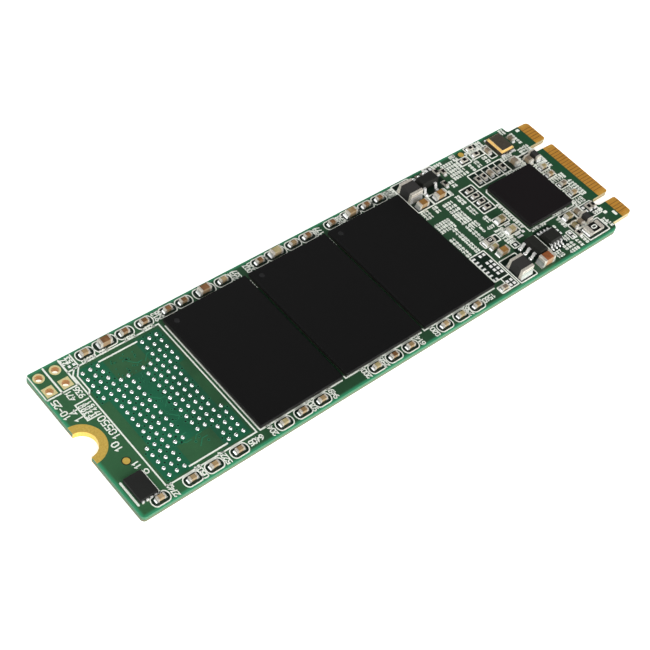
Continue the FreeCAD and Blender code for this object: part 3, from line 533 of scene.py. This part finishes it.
def paint_frame(materials):
    """Gives every CAD node its material, and the capacitors one tone each."""
    for name, node in NODES.items():
        node.data.materials.clear()
        node.data.materials.append(materials[paint_for(name)])
    rng = random.Random(5)
    for name in ("far_row_capacitor_bodies", "near_row_capacitor_bodies", "power_capacitor_bodies",
                 "controller_capacitor_bodies"):
        paint_each_island(name, materials, rng)


TALL_CAPACITOR_TOP = 1.8             # a capacitor that stands higher than this is the orange one
TONE_WEIGHTS = {                     # a tone named more than once is drawn more often
    "far_row_capacitor_bodies": ["brown", "tan", "brown", "cream", "pale", "brown"],
    "near_row_capacitor_bodies": ["cream", "tan", "cream", "pale", "tan", "brown"],
    "power_capacitor_bodies": ["amber"],
    "controller_capacitor_bodies": ["olive", "grey", "tan", "olive", "cream"],
}


def paint_each_island(name, materials, rng):
    """Gives every capacitor in a group its own ceramic tone."""
    mesh = NODES[name].data
    mesh.materials.clear()
    tones = sorted(CERAMIC_TONES)
    for tone in tones:
        mesh.materials.append(materials["ceramic_" + tone])
    choices = TONE_WEIGHTS[name]
    boxes = []
    for low, high in islands(name):
        tone = "orange" if high.z > TALL_CAPACITOR_TOP else rng.choice(choices)
        boxes.append((low, high, tones.index(tone)))
    for poly in mesh.polygons:
        c = poly.center / MM
        for low, high, index in boxes:
            if low.x - 0.01 <= c.x <= high.x + 0.01 and low.y - 0.01 <= c.y <= high.y + 0.01:
                poly.material_index = index
                break


# ---------------------------------------------------------------- printed legend
LINE = 0.18                          # width of the package outlines
THIN = 0.14                          # width of the frames round small parts
FIGURES = {                          # strokes in a box 0.6 wide and 1 high, each with True if it closes
    "0": [([(0, .2), (0, .8), (.15, 1), (.45, 1), (.6, .8), (.6, .2), (.45, 0), (.15, 0)], True)],
    "1": [([(.1, .78), (.33, 1), (.33, 0)], False)],
    "2": [([(0, .78), (.15, 1), (.45, 1), (.6, .8), (.58, .58), (0, 0), (.6, 0)], False)],
    "3": [([(0, 1), (.6, 1), (.3, .6), (.58, .38), (.58, .16), (.42, 0), (.12, 0), (0, .12)], False)],
    "4": [([(.45, 0), (.45, 1), (0, .32), (.62, .32)], False)],
    "5": [([(.58, 1), (.06, 1), (.02, .56), (.42, .6), (.6, .42), (.6, .16), (.42, 0), (0, .04)], False)],
    "6": [([(.5, 1), (.2, .86), (0, .5), (0, .2), (.15, 0), (.45, 0), (.6, .2), (.6, .38), (.45, .56),
            (.08, .5)], False)],
    "7": [([(0, 1), (.6, 1), (.22, 0)], False)],
    "8": [([(.16, .53), (.02, .68), (.02, .86), (.16, 1), (.44, 1), (.58, .86), (.58, .68),
            (.44, .53)], True),
          ([(.16, .53), (0, .36), (0, .15), (.16, 0), (.44, 0), (.6, .15), (.6, .36), (.44, .53)], True)],
    "9": [([(.1, 0), (.4, .14), (.6, .5), (.6, .8), (.45, 1), (.15, 1), (0, .8), (0, .62), (.15, .44),
            (.52, .5)], False)],
    "-": [([(.05, .5), (.55, .5)], False)],
}


def write_figures(ink, text, x, y, angle, height=0.72, weight=0.12, pitch=0.82):
    """Writes figures from the first one's lower left corner at (x, y), along the angle in degrees."""
    c, s = math.cos(math.radians(angle)), math.sin(math.radians(angle))
    for i, figure in enumerate(text):
        for points, closed in FIGURES[figure]:
            moved = []
            for u, v in points:
                px, py = (u + i * pitch) * height, v * height
                moved.append((x + px * c - py * s, y + px * s + py * c))
            ink.stroke(moved, weight, closed, lift=LEVEL * (i % 3))


def any_number(rng, digits):
    """A made-up number with that many digits."""
    return "".join(rng.choice("0123456789") for _ in range(digits))


def pill(x, y, half_length, half_width, bulge):
    """A frame with straight long sides and bowed ends, centred on (x, y)."""
    points, steps = [], 8
    for side in (1, -1):
        for k in range(steps + 1):
            a = math.pi * k / steps - math.pi / 2
            points.append((x + side * (half_length - bulge + bulge * math.cos(a)),
                           y + side * half_width * math.sin(a)))
    return points


FRAME_SMALL = (1.14, 0.69)           # half length and half width of a row frame
FRAME_LARGE = (1.5, 0.76)
FRAME_BULGE = 0.5                    # how far its ends bow out
LARGE_CAPACITOR = 1.3                # a longer body than this takes the large frame


def row_frames(ink, shade_plates):
    """Frames round the capacitors in the two long rows, with a dark plate of painted shade inside each,
    standing in for the shade round the capacitor.
    """
    for node in ("far_row_capacitor_bodies", "near_row_capacitor_bodies"):
        for low, high in islands(node):
            x, y = (low.x + high.x) / 2, (low.y + high.y) / 2
            half_length, half_width = FRAME_LARGE if high.x - low.x > LARGE_CAPACITOR else FRAME_SMALL
            inside = 0.06
            ink.stroke(pill(x, y, half_length, half_width, FRAME_BULGE), THIN, closed=True)
            # painted shade inside the frame
            shade_plates.prism(pill(x, y, half_length - inside, half_width - inside, FRAME_BULGE - 0.04))


def package_outlines(ink, shade_plates):
    """The outline round each flash package, open at two opposite corners.

    Between two packages its left side shrinks to a few dashes, over a dark strip of painted shade in the
    narrow gap.
    """
    gap, dash, thin = 0.03, 0.2, 0.08
    neighbour = None
    for k in FLASH_CHIPS:
        low, high = box_mm("flash_chip_%d_laminate" % k)
        left, right, near, far = low.x - gap, high.x + gap, low.y - gap, high.y + gap
        start = far - 0.6 if neighbour is None else near + 0.3
        ink.stroke([(left, start), (left, near), (right, near)], LINE)
        ink.stroke([(left + 1.4, far), (right, far), (right, near + 0.8)], LINE)
        if neighbour is not None:
            # painted shade in the narrow gap between two packages
            shade_plates.plate(neighbour, near + 0.4, low.x, far - 0.1, 0.05)
            for step in range(4):
                y = far - 0.5 - 2 * dash * step
                ink.stroke([(left, y), (left, y - dash)], thin)
        neighbour = high.x


def spare_outline(ink):
    """The outline of the empty flash footprint, with a cut corner marking ball A1, and two bars."""
    low, high = box_mm("spare_footprint_bumps")
    left, right = low.x - 0.83, high.x + 0.83
    near, far = low.y - 0.75, high.y + 0.88
    cut = 1.0
    split = far - cut - 2.9          # the left side runs double from here to the cut corner
    ink.stroke([(left + cut, far), (right, far), (right, near), (left, near), (left, split)], LINE)
    ink.stroke([(left, split), (left + 0.42, split + 0.5), (left + 0.42, far - cut - 0.1),
                (left + cut + 0.3, far)], LINE)
    ink.stroke([(left, split), (left, far - cut + 0.2), (left + 0.75, far + 0.05)], LINE)
    middle = (low.x + high.x) / 2
    for y in (high.y + 0.12, low.y - 0.12):
        ink.stroke([(middle - 2.6, y), (middle + 2.5, y)], LINE * 1.1)


def header_legend(ink):
    """The ruled boxes round the four header holes."""
    low, high = box_mm("debug_header_eyelets")
    left, middle, right = low.x - 0.24, (low.x + high.x) / 2, high.x + 0.28
    near, far = low.y - 0.25, min(high.y + 0.2, BOARD_HIGH.y - 0.15)
    ink.stroke([(left, near), (left, far)], LINE * 0.75)
    for x in (middle, right):
        ink.stroke([(x, near), (x, far)], LINE * 1.25)
    ink.stroke([(left, near), (right, near)], LINE)
    ink.stroke([(right + 1.5, near + 2.1), (right + 1.5, far)], LINE)
    ink.stroke([(right, near + 2.0), (right + 1.2, near + 2.0)], LINE)


def notch_legend(ink, rng):
    """Figures and small marks round the mounting notch. Written at 90 degrees, they stand up towards -X."""
    write_figures(ink, "10-25", -38.95, 3.65, 90, 0.72, 0.14, 0.82)
    write_figures(ink, "471", -37.1, 5.4, 90, 0.66, 0.12, 0.7)
    write_figures(ink, "936", -36.05, 5.2, 90, 0.66, 0.13, 0.8)
    write_figures(ink, "14", -37.9, 2.75, 90, 0.9, 0.15, 1.1)
    ink.stroke([(-36.0, 2.32), (-37.72, 2.32), (-37.72, 4.72), (-36.0, 4.72)], LINE * 0.9)
    for row in range(3):
        write_figures(ink, any_number(rng, 4), -37.1 + 0.55 * row, 2.5, 90, 0.46, 0.13, 1.15)
    write_figures(ink, "18550", -35.95, -1.3, 90, 0.82, 0.14, 0.84)
    write_figures(ink, "10", -36.7, -2.75, 90, 0.78, 0.15, 0.85)
    write_figures(ink, "11", -36.4, -5.65, 90, 0.66, 0.16, 0.72)
    for k in range(2):
        write_figures(ink, any_number(rng, 2), -35.25 + 0.65 * k, 9.85, 90, 0.5, 0.15, 1.0)


def firmware_chip_legend(ink):
    """A bar along each side of the firmware chip, and the ring by its first pad."""
    low, high = box_mm("firmware_chip_body")
    for x in (low.x - 0.26, high.x + 0.2):
        ink.stroke([(x, low.y - 0.05), (x, high.y + 0.05)], 0.26)
    ring = [(high.x + 0.62 + 0.24 * math.cos(a), high.y - 0.25 + 0.28 * math.sin(a)) for a in turns(14)]
    ink.stroke(ring, 0.14, closed=True)


def edge_numbers(ink, rng):
    """Part numbers printed between the frames along both long edges."""
    for x in (-31.25, -28.1, -21.65, -15.85, -12.75, -7.7, -4.9, 0.95, 3.4, 9.1):
        write_figures(ink, any_number(rng, 4), x, -10.7, 90, 0.62, 0.13, 0.73)
    write_figures(ink, any_number(rng, 4), -23.35, -9.68, 180, 0.62, 0.14, 0.78)
    write_figures(ink, any_number(rng, 4), 13.35, -9.65, 180, 0.62, 0.14, 0.78)
    write_figures(ink, any_number(rng, 4), -35.1, -10.75, 90, 0.62, 0.13, 0.7)
    for x in (-22.95, -11.6, -9.4, 1.5, 5.25, 13.6):
        for k in range(2):
            write_figures(ink, any_number(rng, 3), x + 0.62 * k, 9.35, 90, 0.55, 0.13, 0.8)
    for x, digits in ((-32.0, 5), (-30.35, 3), (-26.6, 4), (-24.1, 4)):
        write_figures(ink, any_number(rng, digits), x, 9.36, 180, 0.48, 0.12, 0.85)


TEXT_BLOCKS = [                      # (x0, y0, x1, y1, angle): areas filled with rows of part numbers
    (14.9, -3.8, 16.0, -0.2, 0), (16.4, -3.8, 17.5, 0.9, 0), (14.9, 0.9, 17.5, 2.7, 0),
    (14.9, 3.7, 16.4, 5.4, 0), (16.9, 3.9, 17.6, 5.2, 0), (18.3, -2.6, 19.0, 0.4, 0),
    (18.3, 0.6, 20.3, 2.7, 0), (18.4, 2.8, 20.4, 4.8, 0), (19.1, -0.6, 20.4, 0.4, 0),
    (19.8, -1.8, 20.4, -0.7, 0), (20.8, 3.2, 21.9, 4.9, 0), (20.8, 1.0, 21.9, 2.7, 0),
    (21.4, -0.9, 22.2, 0.3, 0), (20.6, -1.9, 22.0, -1.2, 0), (21.0, -4.9, 22.5, -2.2, 90),
    (22.0, 10.1, 23.6, 10.9, 0), (23.1, 7.0, 25.2, 10.1, 0), (22.0, 6.1, 22.8, 7.5, 0),
    (20.8, 5.2, 21.4, 6.1, 0), (25.0, 7.0, 25.9, 8.4, 0), (26.45, 7.0, 27.1, 8.3, 90),
    (27.6, 7.0, 28.35, 8.3, 0), (29.2, 7.0, 30.3, 8.4, 0), (25.0, 8.35, 25.7, 9.5, 0),
    (27.7, 8.0, 28.2, 9.0, 90), (29.8, 3.7, 31.3, 4.2, 0), (25.3, 10.2, 26.0, 10.9, 0),
    (27.7, 9.6, 30.4, 10.0, 0), (25.5, 9.6, 26.2, 10.9, 0), (30.4, 9.3, 31.4, 10.8, 0),
    (24.5, -3.9, 25.1, 1.0, 90), (25.4, -5.2, 28.2, -4.95, 0), (29.6, -7.0, 30.2, -5.0, 90),
    (31.1, 3.6, 33.7, 4.0, 0), (32.9, 4.2, 33.8, 6.2, 90), (34.6, 5.6, 36.2, 6.9, 90),
    (35.9, 7.4, 36.2, 9.8, 90), (36.2, 2.0, 37.0, 4.2, 90), (34.3, -0.65, 36.9, 0.3, 0),
    (34.6, 2.9, 36.2, 3.3, 0), (34.4, 1.35, 36.3, 1.75, 0), (34.4, -2.7, 36.2, -2.1, 0),
    (33.9, 6.7, 34.5, 7.6, 90), (34.9, 9.8, 35.9, 10.8, 0), (31.9, 6.7, 33.6, 7.0, 0),
    (33.9, -5.2, 34.4, -4.3, 90), (29.9, -4.95, 32.4, -4.75, 0), (28.4, -6.4, 29.0, -5.95, 0),
    (30.9, -8.2, 31.2, -7.0, 90), (35.3, -10.3, 36.0, -9.0, 90), (27.1, -10.7, 28.7, -10.1, 0),
    (36.1, -4.2, 37.0, -0.9, 90), (34.2, -5.2, 36.2, -4.2, 0), (35.9, 5.7, 36.9, 6.9, 0),
    (35.0, -7.7, 36.9, -6.9, 0), (25.0, -10.4, 26.5, -9.2, 0), (26.8, -9.9, 28.8, -9.1, 90),
    (28.0, -8.9, 28.9, -8.0, 0), (29.1, -10.5, 29.8, -9.1, 90), (30.1, -10.5, 30.8, -9.1, 90),
    (34.9, -9.8, 35.7, -8.6, 0), (20.4, 10.3, 20.9, 10.9, 0), (13.0, 9.4, 14.7, 10.8, 90),
    (31.2, 6.2, 33.6, 6.9, 0),
]


def text_blocks(ink, rng):
    """The crowded part numbers between the parts at the connector end."""
    height, weight, pitch, leading, margin = 0.36, 0.165, 1.25, 0.59, 0.04
    for x0, y0, x1, y1, angle in TEXT_BLOCKS:
        along, across = (x1 - x0, y1 - y0) if angle == 0 else (y1 - y0, x1 - x0)
        digits = max(1, round(along / (height * pitch)))
        rows = max(1, round(across / leading))
        for row in range(rows):
            step = across / rows * (row + 0.22)
            x, y = (x0 + margin, y0 + step) if angle == 0 else (x0 + step + height, y0 + margin)
            write_figures(ink, any_number(rng, digits), x, y, angle, height, weight, pitch)


RULES = [                            # closed frames (x0, y0, x1, y1) printed round groups of parts
    (14.9, -8.55, 17.45, -3.95), (15.95, -10.4, 17.45, -8.55), (14.45, -10.4, 15.95, -9.4),
    (17.75, -10.55, 20.7, -6.45), (17.95, -3.85, 20.8, -2.75), (22.1, 0.6, 24.4, 5.35),
    (25.0, 4.35, 31.2, 6.75), (30.35, 7.35, 31.5, 9.75), (28.15, 8.55, 30.25, 9.6),
    (28.15, 9.8, 30.25, 10.85), (25.75, 8.45, 27.6, 9.65), (22.15, -2.1, 24.25, -0.75),
    (22.0, -4.1, 24.25, -2.8), (31.2, 4.15, 33.55, 6.1), (33.6, 3.2, 36.75, 5.7), (34.4, 1.8, 36.15, 2.9),
    (34.2, 0.35, 35.95, 1.35), (34.4, -1.95, 36.15, -0.8), (34.4, -3.9, 36.15, -2.75),
    (34.05, -7.75, 36.3, -5.4), (30.3, -6.9, 32.45, -5.15), (30.25, -8.25, 32.75, -6.95),
    (32.55, -8.25, 33.95, -5.2), (30.95, -10.45, 34.85, -8.15), (29.05, -9.0, 29.9, -7.7),
    (21.2, -5.95, 22.35, -5.05), (14.75, 5.35, 17.65, 10.75), (17.75, 5.35, 20.7, 6.85),
    (20.45, 10.05, 22.0, 10.9),
]

SHADE_PATCHES = [                     # (x0, y0, x1, y1): painted shade round the leaded packages
    (17.8, 6.95, 21.9, 10.2), (20.85, -9.1, 22.4, -5.95), (25.05, -9.35, 28.2, -5.4),
    (32.3, 6.75, 34.2, 7.25),
]


def shade_patches(shade_plates):
    """Painted shade: dark plates under and round the leaded packages, each patch a hair above the one before.
    """
    for k, (x0, y0, x1, y1) in enumerate(SHADE_PATCHES):
        shade_plates.plate(x0, y0, x1, y1, 0.15, lift=0.0025 + 0.0004 * k)


def group_frames(ink, shade_plates, rng):
    """Printed frames round the parts at the connector end, with a dark plate of painted shade inside each."""
    for x0, y0, x1, y1 in RULES:
        # painted shade inside the frame
        shade_plates.plate(x0 + 0.05, y0 + 0.05, x1 - 0.05, y1 - 0.05, 0.1, lift=rng.uniform(0, 0.002))
        width = LINE * rng.uniform(0.85, 1.1)
        outline = rounded_rectangle(x0, y0, x1, y1, 0.12, 2)
        ink.stroke(outline, width, closed=True, lift=rng.uniform(0, 0.002))
    for x in (26.35, 27.5, 28.75, 29.85):
        ink.stroke([(x, 4.35), (x, 6.75)], THIN)
    for y in (4.0, 2.9, 1.78):
        ink.stroke([(22.1, y), (24.4, y)], THIN)
    controller_low, controller_high = box_mm("controller_laminate")
    left, near = controller_low.x - 0.25, controller_low.y - 0.25
    ink.stroke([(left + 0.4, controller_high.y + 0.05), (left, controller_high.y - 0.3), (left, near),
                (controller_high.x + 0.2, near), (controller_high.x + 0.6, near + 0.65)], LINE * 1.15)
    switch_low, switch_high = box_mm("load_switch_leads")
    ink.stroke([(switch_low.x - 0.22, switch_low.y), (switch_low.x - 0.22, switch_high.y)], LINE)


def end_marks(ink):
    """Three small filled marks on the contact tongue."""
    for x, y, length, width in ((37.5, 9.4, 0.6, 0.45), (37.6, -8.85, 0.45, 0.8), (36.55, -8.05, 0.6, 0.45)):
        ink.plate(x - length / 2, y - width / 2, x + length / 2, y + width / 2, 0.12)


def build_legend(materials):
    """All the white print as one piece, and the dark plates of painted shade inside its frames as another."""
    ink, shade_plates = Relief(INK_HEIGHT), Relief(SHADE_PLATE_HEIGHT)
    rng = random.Random(2280)
    row_frames(ink, shade_plates)
    package_outlines(ink, shade_plates)
    spare_outline(ink)
    header_legend(ink)
    notch_legend(ink, rng)
    firmware_chip_legend(ink)
    edge_numbers(ink, rng)
    text_blocks(ink, rng)
    group_frames(ink, shade_plates, rng)
    shade_patches(shade_plates)
    end_marks(ink)
    ink.piece("printed_legend", materials["ink"], "green_solder_mask")
    shade_plates.piece("painted_shade_plates", materials["mask_painted_shade"], "green_solder_mask")


# ---------------------------------------------------------------- copper showing through the mask
def build_copper_areas(materials):
    """The poured copper under the empty footprint, which shows greener through the mask."""
    areas = Relief(COPPER_HEIGHT)
    low, high = box_mm("spare_footprint_bumps")
    wing, margin = 3.0, 0.42
    for k, (x0, x1) in enumerate(((low.x - margin, low.x + wing), (high.x - wing, high.x + margin))):
        areas.plate(x0, high.y - 4.9, x1, high.y + margin, 0.1, lift=0.0005 * k)
        areas.plate(x0, low.y - margin, x1, low.y + 3.9, 0.1, lift=0.0005 * k)
    areas.plate(low.x + 0.55, low.y + 2.7, high.x - 0.55, high.y - 3.5, 0.2, lift=0.001)
    areas.piece("copper_areas", materials["mask_copper"], "green_solder_mask")


def build_copper_relief(materials):
    """Traces and vias of the outer copper layer, standing a little proud under the mask, with painted shade
    as dark discs in the vias.
    """
    relief, via_shade = Relief(RELIEF_HEIGHT), Relief(RELIEF_HEIGHT + 0.004)
    rng = random.Random(132)
    bumps = [((low.x + high.x) / 2, (low.y + high.y) / 2) for low, high in islands("spare_footprint_bumps")]
    taken = set()
    for x, y in bumps:
        dx, dy = rng.choice(((0.5, 0.5), (0.5, -0.5), (-0.5, 0.5), (-0.5, -0.5)))
        via = (round(x + dx, 2), round(y + dy, 2))
        if rng.random() < 0.15 or via in taken:
            continue
        taken.add(via)
        relief.stroke([(x + dx * 0.5, y + dy * 0.5), via], 0.12, lift=LEVEL)
        relief.disc(via[0], via[1], 0.19, lift=2 * LEVEL, sides=12)
        # painted shade: a dark disc in the via
        via_shade.disc(via[0], via[1], 0.12, sides=10)
    middle_x = (min(b[0] for b in bumps) + max(b[0] for b in bumps)) / 2
    first_y = min(b[1] for b in bumps)
    for k in range(14):
        x, y = middle_x + rng.uniform(-2.4, 1.8), first_y + 1.0 + 1.05 * k
        run = rng.uniform(0.4, 1.0) * rng.choice((-1, 1))
        corner = x + abs(run)
        relief.stroke([(x, y), (corner, y + run), (corner + 0.7, y + run)], 0.11, lift=LEVEL * (k % 3))
        for step in range(rng.randint(1, 4)):
            vx, vy = x + rng.uniform(-0.8, 1.6), y + rng.uniform(-0.5, 0.5)
            relief.disc(vx, vy, 0.16, lift=2 * LEVEL, sides=10)
            via_shade.disc(vx, vy, 0.08, sides=8)
    for k in range(44):
        vx, vy = middle_x + rng.uniform(-1.9, 1.5), first_y + rng.uniform(11.2, 16.0)
        relief.disc(vx, vy, 0.12, lift=0.0005 * (k % 5), sides=10)
        # painted shade: a dark disc in the via, set off to one side like a shadow
        via_shade.disc(vx + 0.05, vy - 0.04, 0.06, lift=0.0005 * (k % 5), sides=8)
    relief.piece("traces_and_vias", materials["mask_raised"], "green_solder_mask")
    via_shade.piece("tented_via_painted_shade", materials["mask_painted_shade"], "green_solder_mask")


def build_finger_gaps(materials):
    """Painted shade: dark strips between neighbouring contact fingers, standing in for the shade in the
    narrow gaps.
    """
    gaps = Relief(0.0, box_mm("top_contact_fingers")[1].z - 0.02)
    boxes = sorted(islands("top_contact_fingers"), key=lambda b: b[0].y)
    for (low, high), (next_low, _) in zip(boxes, boxes[1:]):
        if next_low.y - high.y < 0.2:
            gaps.plate(low.x, high.y + 0.001, high.x - 0.02, next_low.y - 0.001)
    gaps.piece("finger_gaps", materials["gap"], "glass_epoxy_laminate")


def build_pin_marks(materials):
    """The faint moulded disc by ball A1 on each flash package, in the floor of its shallow dimple."""
    radius, inset_x, inset_y = 0.33, 1.15, 1.1
    below_top, bottom = 0.026, 0.05
    for k in FLASH_CHIPS:
        low, high = box_mm("flash_chip_%d_mould_cap" % k)
        mark = Relief(-below_top, high.z)
        mark.low = high.z - bottom
        mark.disc(low.x + inset_x, high.y - inset_y, radius, sides=28)
        mark.piece("flash_chip_%d_pin_mark" % k, materials["mould_mark"], "black_mould_compound")


def build_link_marks(materials):
    """The 0 printed on each zero-ohm link."""
    proud, rooted, shortest = 0.012, 0.006, 0.7
    marks = Relief(proud)
    coats = [b for b in islands("resistor_glass_coats") if b[1].x - b[0].x > shortest]
    for low, high in coats:
        marks.high, marks.low = high.z + proud, high.z - rooted
        height = (high.y - low.y) * 0.55
        weight = height * 0.2
        x, y = (low.x + high.x) / 2, (low.y + high.y) / 2
        write_figures(marks, "0", x + height / 2, y - 0.3 * height, 90, height, weight)
    marks.piece("link_marks", materials["ink"], "black_glaze")


def build_lead_solder(materials):
    """Solder drawn up round the foot of every lead: half an ellipsoid centred a little back from its toe."""
    back, wider, along, tall = 0.12, 1.35, 0.3, 0.22
    solder = bmesh.new()
    for node in ("core_regulator_leads", "flash_regulator_leads", "load_switch_leads"):
        node_low, node_high = box_mm(node)
        middle = (node_low + node_high) / 2
        for low, high in islands(node):
            along_y = high.y - low.y > high.x - low.x
            centre = (low + high) / 2
            reach = Vector((0, math.copysign(0.5, centre.y - middle.y), 0)) if along_y else \
                Vector((math.copysign(0.5, centre.x - middle.x), 0, 0))
            half = (high - low) / 2
            toe = Vector((centre.x + reach.x * 2 * (half.x - back),
                          centre.y + reach.y * 2 * (half.y - back), TOP))
            size = (half.x * wider, along, tall) if along_y else (along, half.y * wider, tall)
            matrix = Matrix.Translation(toe * MM) @ Matrix.Diagonal([d * MM for d in size] + [1])
            bmesh.ops.create_icosphere(solder, subdivisions=3, radius=1.0, matrix=matrix)
    floor = (TOP - SUNK) * MM
    bmesh.ops.bisect_plane(solder, geom=solder.verts[:] + solder.edges[:] + solder.faces[:],
                           plane_co=(0, 0, floor), plane_no=(0, 0, -1), clear_outer=True)
    bmesh.ops.holes_fill(solder, edges=[e for e in solder.edges if e.is_boundary])
    finish_piece(solder, "lead_solder", materials["solder"], smooth=True)


# ---------------------------------------------------------------- stage
CAMERA_AZIMUTH = -51.22
CAMERA_ELEVATION = 49.98
CAMERA_ROLL = 13.81
CAMERA_DISTANCE = 159.36
CAMERA_TARGET = (-7.133, -1.711, 0.4)
CAMERA_LENS = 74.93
CAMERA_SENSOR = 36.0


def add_camera():
    """The camera, aimed at its target and then rolled about its own axis."""
    az, el, roll = (math.radians(a) for a in (CAMERA_AZIMUTH, CAMERA_ELEVATION, CAMERA_ROLL))
    back = Vector((math.sin(az) * math.cos(el), -math.cos(az) * math.cos(el), math.sin(el)))
    right = (-back).cross(Vector((0, 0, 1))).normalized()
    up = right.cross(-back)
    tilted_right = right * math.cos(roll) + up * math.sin(roll)
    tilted_up = up * math.cos(roll) - right * math.sin(roll)
    data = bpy.data.cameras.new("camera")
    data.lens = CAMERA_LENS
    data.sensor_width = CAMERA_SENSOR
    data.clip_start = 0.005
    camera = bpy.data.objects.new("camera", data)
    bpy.context.scene.collection.objects.link(camera)
    place = (Vector(CAMERA_TARGET) + back * CAMERA_DISTANCE) * MM
    axes = Matrix((tilted_right, tilted_up, back)).transposed().to_4x4()
    camera.matrix_world = Matrix.Translation(place) @ axes
    bpy.context.scene.camera = camera


def add_light(name, azimuth, elevation, distance, size, power, tint=(1, 1, 1)):
    """A square soft light aimed at the board's middle. Azimuth 0 is the -Y side, 90 the +X side."""
    az, el = math.radians(azimuth), math.radians(elevation)
    towards = Vector((math.sin(az) * math.cos(el), -math.cos(az) * math.cos(el), math.sin(el)))
    data = bpy.data.lights.new(name, "AREA")
    data.shape = "SQUARE"
    data.size = size
    data.energy = power
    data.color = tint
    light = bpy.data.objects.new(name, data)
    bpy.context.scene.collection.objects.link(light)
    light.location = towards * distance
    light.rotation_euler = towards.to_track_quat("Z", "Y").to_euler()


def add_floor():
    """A pale floor, see-through from below so that the card's underside can be looked at."""
    bm = bmesh.new()
    size = 3.0
    corners = [bm.verts.new((x * size, y * size, -0.0002)) for x, y in ((-1, -1), (1, -1), (1, 1), (-1, 1))]
    bm.faces.new(corners)
    mesh = bpy.data.meshes.new("floor")
    bm.to_mesh(mesh)
    bm.free()
    s = Shader("pale_floor")
    from_below = s.tree.nodes.new("ShaderNodeNewGeometry").outputs["Backfacing"]
    s.set(Base_Color=colour("#f4f4f3"), Roughness=0.9, Specular_IOR_Level=0.1,
          Emission_Color=(1, 1, 1, 1), Emission_Strength=0.62, Alpha=s.maths("SUBTRACT", 1.0, from_below))
    mesh.materials.append(s.material)
    floor = bpy.data.objects.new("floor", mesh)
    bpy.context.scene.collection.objects.link(floor)


def add_world():
    """Surroundings bright near the horizon, and dark where the flat package tops mirror the camera.

    The camera itself sees them as plain white.
    """
    world = bpy.data.worlds.new("studio")
    bpy.context.scene.world = world
    world.use_nodes = True
    nodes, links = world.node_tree.nodes, world.node_tree.links
    az, el = math.radians(CAMERA_AZIMUTH), math.radians(CAMERA_ELEVATION)
    mirrored = Vector((-math.sin(az) * math.cos(el), math.cos(az) * math.cos(el), math.sin(el)))
    place = nodes.new("ShaderNodeTexCoord")
    nearness = nodes.new("ShaderNodeVectorMath")
    nearness.operation = "DOT_PRODUCT"
    nearness.inputs[1].default_value = mirrored
    links.new(place.outputs["Generated"], nearness.inputs[0])
    spread = nodes.new("ShaderNodeMapRange")
    spread.interpolation_type = "SMOOTHSTEP"
    for key, value in (("From Min", 0.70), ("From Max", 0.90), ("To Min", 1.0), ("To Max", 0.02)):
        spread.inputs[key].default_value = value
    links.new(nearness.outputs["Value"], spread.inputs["Value"])
    height = nodes.new("ShaderNodeSeparateXYZ")
    links.new(place.outputs["Generated"], height.inputs[0])
    low_sky = nodes.new("ShaderNodeMapRange")
    low_sky.interpolation_type = "SMOOTHSTEP"
    for key, value in (("From Min", 0.25), ("From Max", 0.60), ("To Min", 0.95), ("To Max", 0.36)):
        low_sky.inputs[key].default_value = value
    links.new(height.outputs["Z"], low_sky.inputs["Value"])
    strength = nodes.new("ShaderNodeMath")
    strength.operation = "MULTIPLY"
    links.new(low_sky.outputs["Result"], strength.inputs[0])
    links.new(spread.outputs["Result"], strength.inputs[1])
    seen = nodes.new("ShaderNodeMath")
    seen.operation = "MAXIMUM"
    links.new(strength.outputs[0], seen.inputs[0])
    links.new(nodes.new("ShaderNodeLightPath").outputs["Is Camera Ray"], seen.inputs[1])
    background = nodes["Background"]
    background.inputs["Color"].default_value = (0.97, 0.98, 1.0, 1)
    links.new(seen.outputs[0], background.inputs["Strength"])


def set_stage():
    """Camera, floor, surroundings and lights."""
    add_camera()
    add_floor()
    add_world()
    add_light("key", -12, 42, 0.5, 0.42, 1.75, (1.0, 0.99, 0.97))
    add_light("front_low", 6, 12, 0.5, 0.26, 1.5)
    add_light("left_fill", -108, 30, 0.55, 0.32, 0.5)
    add_light("back", 162, 16, 0.5, 0.2, 0.7)
    view = bpy.context.scene.view_settings
    view.view_transform = "Standard"
    view.look = "None"


# ---------------------------------------------------------------- build
materials = make_materials()
paint_frame(materials)
build_copper_areas(materials)
build_copper_relief(materials)
build_finger_gaps(materials)
build_pin_marks(materials)
build_link_marks(materials)
build_lead_solder(materials)
build_legend(materials)
set_stage()
